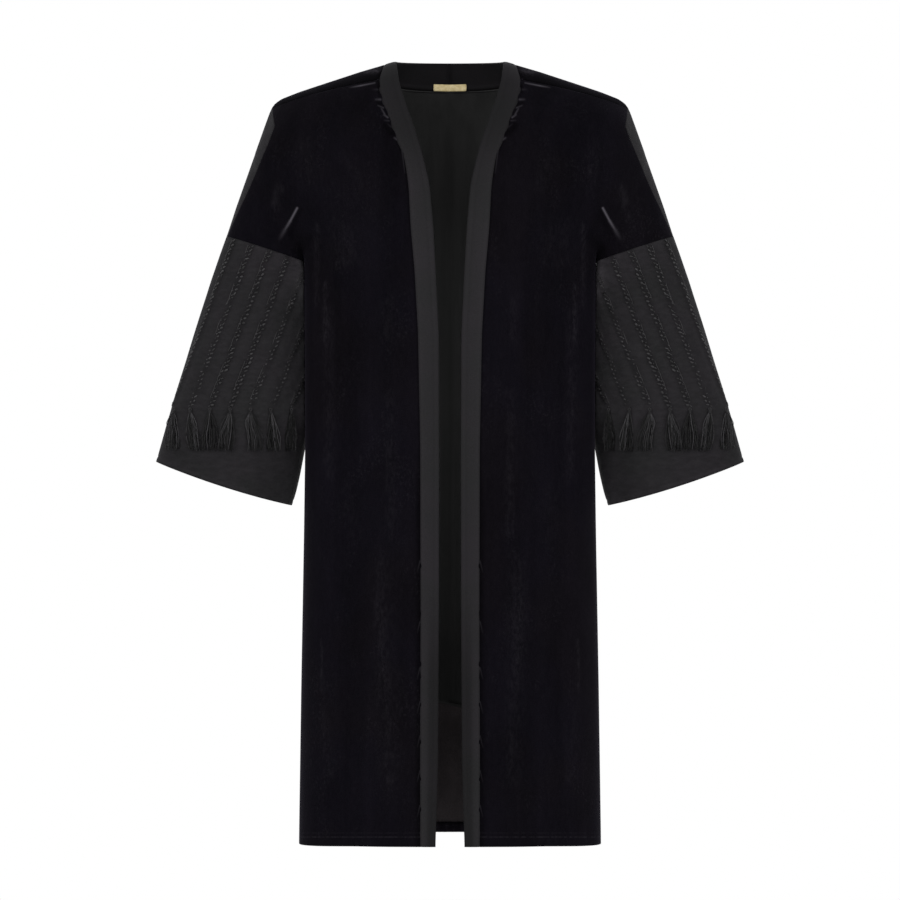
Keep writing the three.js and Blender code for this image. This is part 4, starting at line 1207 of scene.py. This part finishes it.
def blob(center, axis, length, radius, sides=6, rings=4):
    """Points and faces of a small rounded stitch along an axis."""
    turn = Vector((0, 0, 1)).rotation_difference(Vector(axis))
    points = [Vector((0, 0, -length / 2))]
    for n in range(1, rings):
        angle = math.pi * n / rings
        points += ring_points(radius * math.sin(angle), sides, -length / 2 * math.cos(angle))
    top = len(points)
    points.append(Vector((0, 0, length / 2)))
    last = top - sides
    faces = ring_faces(rings - 1, sides, first=1)
    for k in range(sides):
        after = (k + 1) % sides
        faces += [(0, 1 + after, 1 + k), (top, last + k, last + after)]
    return [turn @ spot + Vector(center) for spot in points], faces


class Heap:
    """Many small forms gathered into one mesh, each with a shade of its own."""

    def __init__(self):
        self.points, self.faces, self.shades = [], [], []

    def add(self, points, faces, shade=1.0):
        start = len(self.points)
        self.points.extend(tuple(spot) for spot in points)
        self.faces.extend(tuple(v + start for v in face) for face in faces)
        self.shades.extend(np.broadcast_to(shade, len(points)).tolist())

    def object(self, name, mirrored):
        vertices = np.array(self.points) * MM
        faces = self.faces
        if mirrored:
            vertices = vertices * (-1, 1, 1)
            faces = [face[::-1] for face in faces]
        piece = new_object(name, vertices, faces)
        paint(piece, "shade", self.shades)
        return piece


STITCH_PITCH = 6.2
STITCH_LENGTH = 5.6
STITCH_RADIUS = 1.4
STITCH_SLANT = math.radians(40)
SMALL_STITCH = 0.68
STITCH_ASIDE = -1.6
SMALL_ASIDE = 2.2
CORD_ASIDE = 4.2
CORD_RADIUS = 0.45
STITCHES_MISSING = 0.09
STITCH_SHADES = (0.4, 0.65, 0.85, 1.0, 1.3)


def braid(side, mirrored):
    """Lines of slanting stitches down the sleeve, large and small in turn, with a thin cord beside them."""
    rng = random.Random(11)
    heap = Heap()
    for face in (-1, 1):
        for k in BRAID_NUMBERS:
            w = BRAID_MIDDLE + k * BRAID_PITCH
            cord = []
            l = drop_l(w) + 3
            while l < tassel_l(w) - 2:
                x, z = sleeve_x(w, l), sleeve_z(w, l)
                if sleeve_inner(z) + 3 < x < arm_edge(z) - 1:
                    cord.append(add_stitches(heap, rng, w, l, face))
                l += STITCH_PITCH * rng.uniform(0.93, 1.07)
            while len(cord) > 3:
                run = rng.randint(3, 9)
                heap.add(*strand(cord[:run], CORD_RADIUS), rng.uniform(0.8, 1.3))
                cord = cord[run + rng.randint(0, 4):]
    return dress(heap.object(f"braid_{side}", mirrored), BRAID, "thread")


def add_stitches(heap, rng, w, l, face):
    """Adds a large and a small stitch at a place on a line, and returns where the cord passes."""
    here = sleeve_place(w, l, face)
    down = (sleeve_place(w, l + 2, face) - here).normalized()
    aside = (sleeve_place(w + 2, l, face) - here).normalized()
    out = aside.cross(down).normalized()
    if out.y * face < 0:
        out = -out
    for offset, size, step in ((STITCH_ASIDE, 1.0, 0.0), (SMALL_ASIDE, SMALL_STITCH, 0.5)):
        if rng.random() < STITCHES_MISSING:
            continue
        slant = STITCH_SLANT * rng.uniform(0.5, 1.5)
        axis = down * math.cos(slant) + aside * math.sin(slant)
        length = STITCH_LENGTH * size * rng.uniform(0.7, 1.15)
        radius = STITCH_RADIUS * size * rng.uniform(0.7, 1.15)
        jitter = rng.uniform(-1.2, 1.2)
        spot = here + aside * (offset + jitter) + down * (step * STITCH_PITCH) + out * (radius * 0.55 + 0.3)
        heap.add(*blob(spot, axis, length, radius), rng.choice(STITCH_SHADES))
    return here + aside * (CORD_ASIDE + rng.uniform(-0.7, 0.7)) + out * (CORD_RADIUS + 0.1)


# Tassels

STRAND_SIDES = 5


def strand(path, radius, sides=STRAND_SIDES):
    """Points and faces of a thread along a path, closed at both ends."""
    points = []
    for n, spot in enumerate(path):
        ahead = path[min(n + 1, len(path) - 1)] - path[max(n - 1, 0)]
        turn = Vector((0, 0, 1)).rotation_difference(ahead)
        points += [spot + turn @ rim for rim in ring_points(radius, sides)]
    last = len(points) - sides
    faces = ring_faces(len(path), sides)
    faces += [tuple(range(sides))[::-1], tuple(range(last, last + sides))]
    return points, faces


TASSEL_THREADS = 32
TASSEL_NECK = 8
TASSEL_HEAD = 3.0
TASSEL_OFF = 0.25
SOLID_STRAND = 0.95
# Painted light and shade among a tassel's threads: a lightness chosen at random for each thread
THREAD_SHADES = (0.03, 0.08, 0.22, 0.55, 1.2, 2.5)
THREAD_RADIUS = 0.44
TASSEL_HANG = {  # number of the line: lean of the foot outwards, half width of the foot
    3: (0.0, 9.5), 2: (-7.0, 6.5), 1: (0.5, 9.5), 0: (6.0, 9.5), -1: (-7.0, 9.0), -2: (-4.0, 9.0),
    -3: (1.5, 5.0),
}


def tassel_line(k, face):
    """Top and bottom of a tassel, as its solid has them."""
    w = BRAID_MIDDLE + k * BRAID_PITCH
    x = min(sleeve_x(w, tassel_l(w)), float(arm_edge(BRAID_END_Z)) - TASSEL_EDGE)
    low_z = BRAID_END_Z - TASSEL_LENGTH

    def near(z, reach):
        return max(face * surface_at(x + side * reach, z, face)[1] for side in (-1, 0, 1))

    half = TASSEL_DEPTH / 2 + SOLID_STRAND + TASSEL_OFF
    head = near(BRAID_END_Z, TASSEL_HEAD) + TASSEL_HEAD + TASSEL_OFF
    end = near(low_z, TASSEL_SPREAD + SOLID_STRAND) + half
    middle = near((BRAID_END_Z + low_z) / 2, TASSEL_SPREAD / 2) + half
    more = max(middle - (head + end) / 2, 0)
    return Vector((x, face * (head + more), BRAID_END_Z)), Vector((x, face * (end + more), low_z))


def tassel(side, where, face, k, mirrored):
    """A looped head, a bound neck, and threads that wander down to a ragged foot."""
    number = k - BRAID_NUMBERS[0] + 1
    rng = random.Random(100 + number * 7 + (50 if face > 0 else 0))
    top, bottom = tassel_line(k, face)
    axis = (bottom - top).normalized()
    lean, half = TASSEL_HANG[k] if face < 0 else (rng.uniform(-4, 4), rng.uniform(7, 9.5))
    heap = Heap()
    neck = top + axis * TASSEL_NECK
    for n in range(TASSEL_THREADS):
        share = 2 * (n + rng.random()) / TASSEL_THREADS - 1
        layer = rng.uniform(-1, 1)
        start = neck + Vector((share * 1.4, layer * 1.0, 0)) - axis * 1.5
        foot = top + axis * TASSEL_LENGTH * rng.uniform(0.92, 1.01)
        foot += Vector((share * half * 1.12 + lean + rng.gauss(0, 1.5), layer * 1.6, 0))
        first = start.lerp(foot, 0.3) + Vector((share * half * 0.34 + rng.gauss(0, 1.3), layer * 0.8, 0))
        second = start.lerp(foot, 0.66) + Vector((share * half * 0.3 + rng.gauss(0, 2.0), layer * 1.0, 0))
        path = bezier([start, first, second, foot], 10)
        lightness = rng.choice(THREAD_SHADES)
        # Painted shade towards each thread's foot
        fade = np.interp(range(len(path)), [0, 6, 9], [1.0, 0.9, 0.3])
        thick = THREAD_RADIUS * rng.uniform(0.8, 1.15)
        heap.add(*strand(path, thick), lightness * np.repeat(fade, STRAND_SIDES))
    ahead = Vector((0, 1, 0))
    heap.add(*wrap(top + axis * 2.6, ahead, 1.6, 0.9, 16), 0.8)
    for turn_number in range(3):
        heap.add(*wrap(neck - axis * (0.4 + turn_number * 1.2), axis, 1.6, 0.55), 0.9)
    piece = heap.object(f"tassel_{side}_{where}_{number}_threads", mirrored)
    return dress(piece, TASSEL, "thread", f"tassel_{side}_{where}_{number}")


def bezier(knots, count):
    """Smooth path through four knots."""
    a, b, c, d = knots
    path = []
    for n in range(count):
        t = n / (count - 1) * 3
        k = min(int(t), 2)
        u = t - k
        points = [a, a, b, c, d, d]
        p0, p1, p2, p3 = points[k:k + 4]
        path.append(0.5 * (2 * p1 + (p2 - p0) * u + (2 * p0 - 5 * p1 + 4 * p2 - p3) * u * u
                           + (3 * p1 - p0 - 3 * p2 + p3) * u * u * u))
    return path


def wrap(center, axis, radius, thickness, steps=14, sides=6):
    """One turn of thread round a tassel's neck, as a closed ring."""
    turn = Vector((0, 0, 1)).rotation_difference(axis)
    points = []
    for middle in ring_points(1.0, steps):
        for rim in ring_points(thickness, sides):
            points.append(turn @ (middle * (radius + rim.x) + Vector((0, 0, rim.y))) + center)
    return points, [face[::-1] for face in ring_faces(steps, sides, closed=True)]


# Label

def label():
    """A small slip of satin on the inside of the neck band, its foot leaning away from the band."""
    out = np.linspace(-1, 1, LABEL_COLUMNS + 1)
    lines = []
    for down in np.linspace(0, 1, LABEL_ROWS + 1):
        share = np.array([(LABEL_LIFT + (1 - down) * LABEL[1]) / (NECK_BACK_FREE[1] - NECK_BACK_SEAM_Z)])
        middle = band_neck_spot(math.pi / 2, share)[0]
        beside = band_neck_spot(math.pi / 2 - LABEL_TURN, share)[0]
        t = np.abs(out) * LABEL[0] / 2 / beside[0]
        puff = 0.35 * (1 - (2 * down - 1) ** 2)
        y = mix(middle[1], beside[1], t) - BAND_WALL - mix(*LABEL_LEAN, down) - puff
        corner = 1 - 0.02 * (2 * down - 1) ** 6
        lines.append(np.stack([out * corner * LABEL[0] / 2, y, mix(middle[2], beside[2], t)], -1))
    points = np.array(lines)
    piece = shell("label_satin", points, grid_normals(points, False), LABEL[2])
    return dress(piece, LABEL_SATIN, "label", "label")


# Making everything

back = back_panel()
lining = back_lining()
hem_turn = back_hem_turn()
tag = label()

for side_name, is_mirrored in (("left", False), ("right", True)):
    front = front_panel(side_name, is_mirrored)
    edge = band(side_name, is_mirrored)
    strip = upper_back(side_name, is_mirrored)
    sleeve = lower_sleeve(side_name, is_mirrored)
    braid(side_name, is_mirrored)
    for where, face in (("front", -1), ("back", 1)):
        for k in BRAID_NUMBERS:
            tassel(side_name, where, face, k, is_mirrored)


# Floor, lights and camera

def floor():
    bpy.ops.mesh.primitive_circle_add(vertices=96, radius=1.9, fill_type="NGON", location=(0, 0, FLOOR_Z))
    disc = bpy.context.object
    disc.name = "floor"
    material = bpy.data.materials.new("floor")
    material.use_nodes = True
    shader = material.node_tree.nodes["Principled BSDF"]
    shader.inputs["Base Color"].default_value = (0.86, 0.86, 0.86, 1)
    shader.inputs["Roughness"].default_value = 0.9
    disc.data.materials.append(material)


def area_light(name, place, target, size, energy):
    data = bpy.data.lights.new(name, "AREA")
    data.shape = "DISK"
    data.size = size
    data.energy = energy
    lamp = bpy.data.objects.new(name, data)
    lamp.location = place
    aim = Vector(target) - Vector(place)
    lamp.rotation_euler = aim.to_track_quat("-Z", "Y").to_euler()
    bpy.context.scene.collection.objects.link(lamp)


def lights():
    world = bpy.data.worlds.new("studio")
    bpy.context.scene.world = world
    world.use_nodes = True
    background = world.node_tree.nodes["Background"]
    background.inputs["Color"].default_value = (1, 1, 1, 1)
    background.inputs["Strength"].default_value = 1.0
    area_light("key", (-1.6, -3.2, -0.1), (0, 0, -0.5), 1.6, 26)
    area_light("fill", (1.8, -3.2, -0.3), (0, 0, -0.5), 1.8, 22)


def camera():
    data = bpy.data.cameras.new("camera")
    data.sensor_width = SENSOR
    data.lens = SENSOR * CAMERA_AWAY / FRAME_WIDTH
    eye = bpy.data.objects.new("camera", data)
    eye.location = (0, -CAMERA_AWAY, CAMERA_HEIGHT)
    eye.rotation_euler = (math.pi / 2, 0, 0)
    bpy.context.scene.collection.objects.link(eye)
    bpy.context.scene.camera = eye


floor()
lights()
camera()
bpy.context.scene.view_settings.view_transform = "Standard"
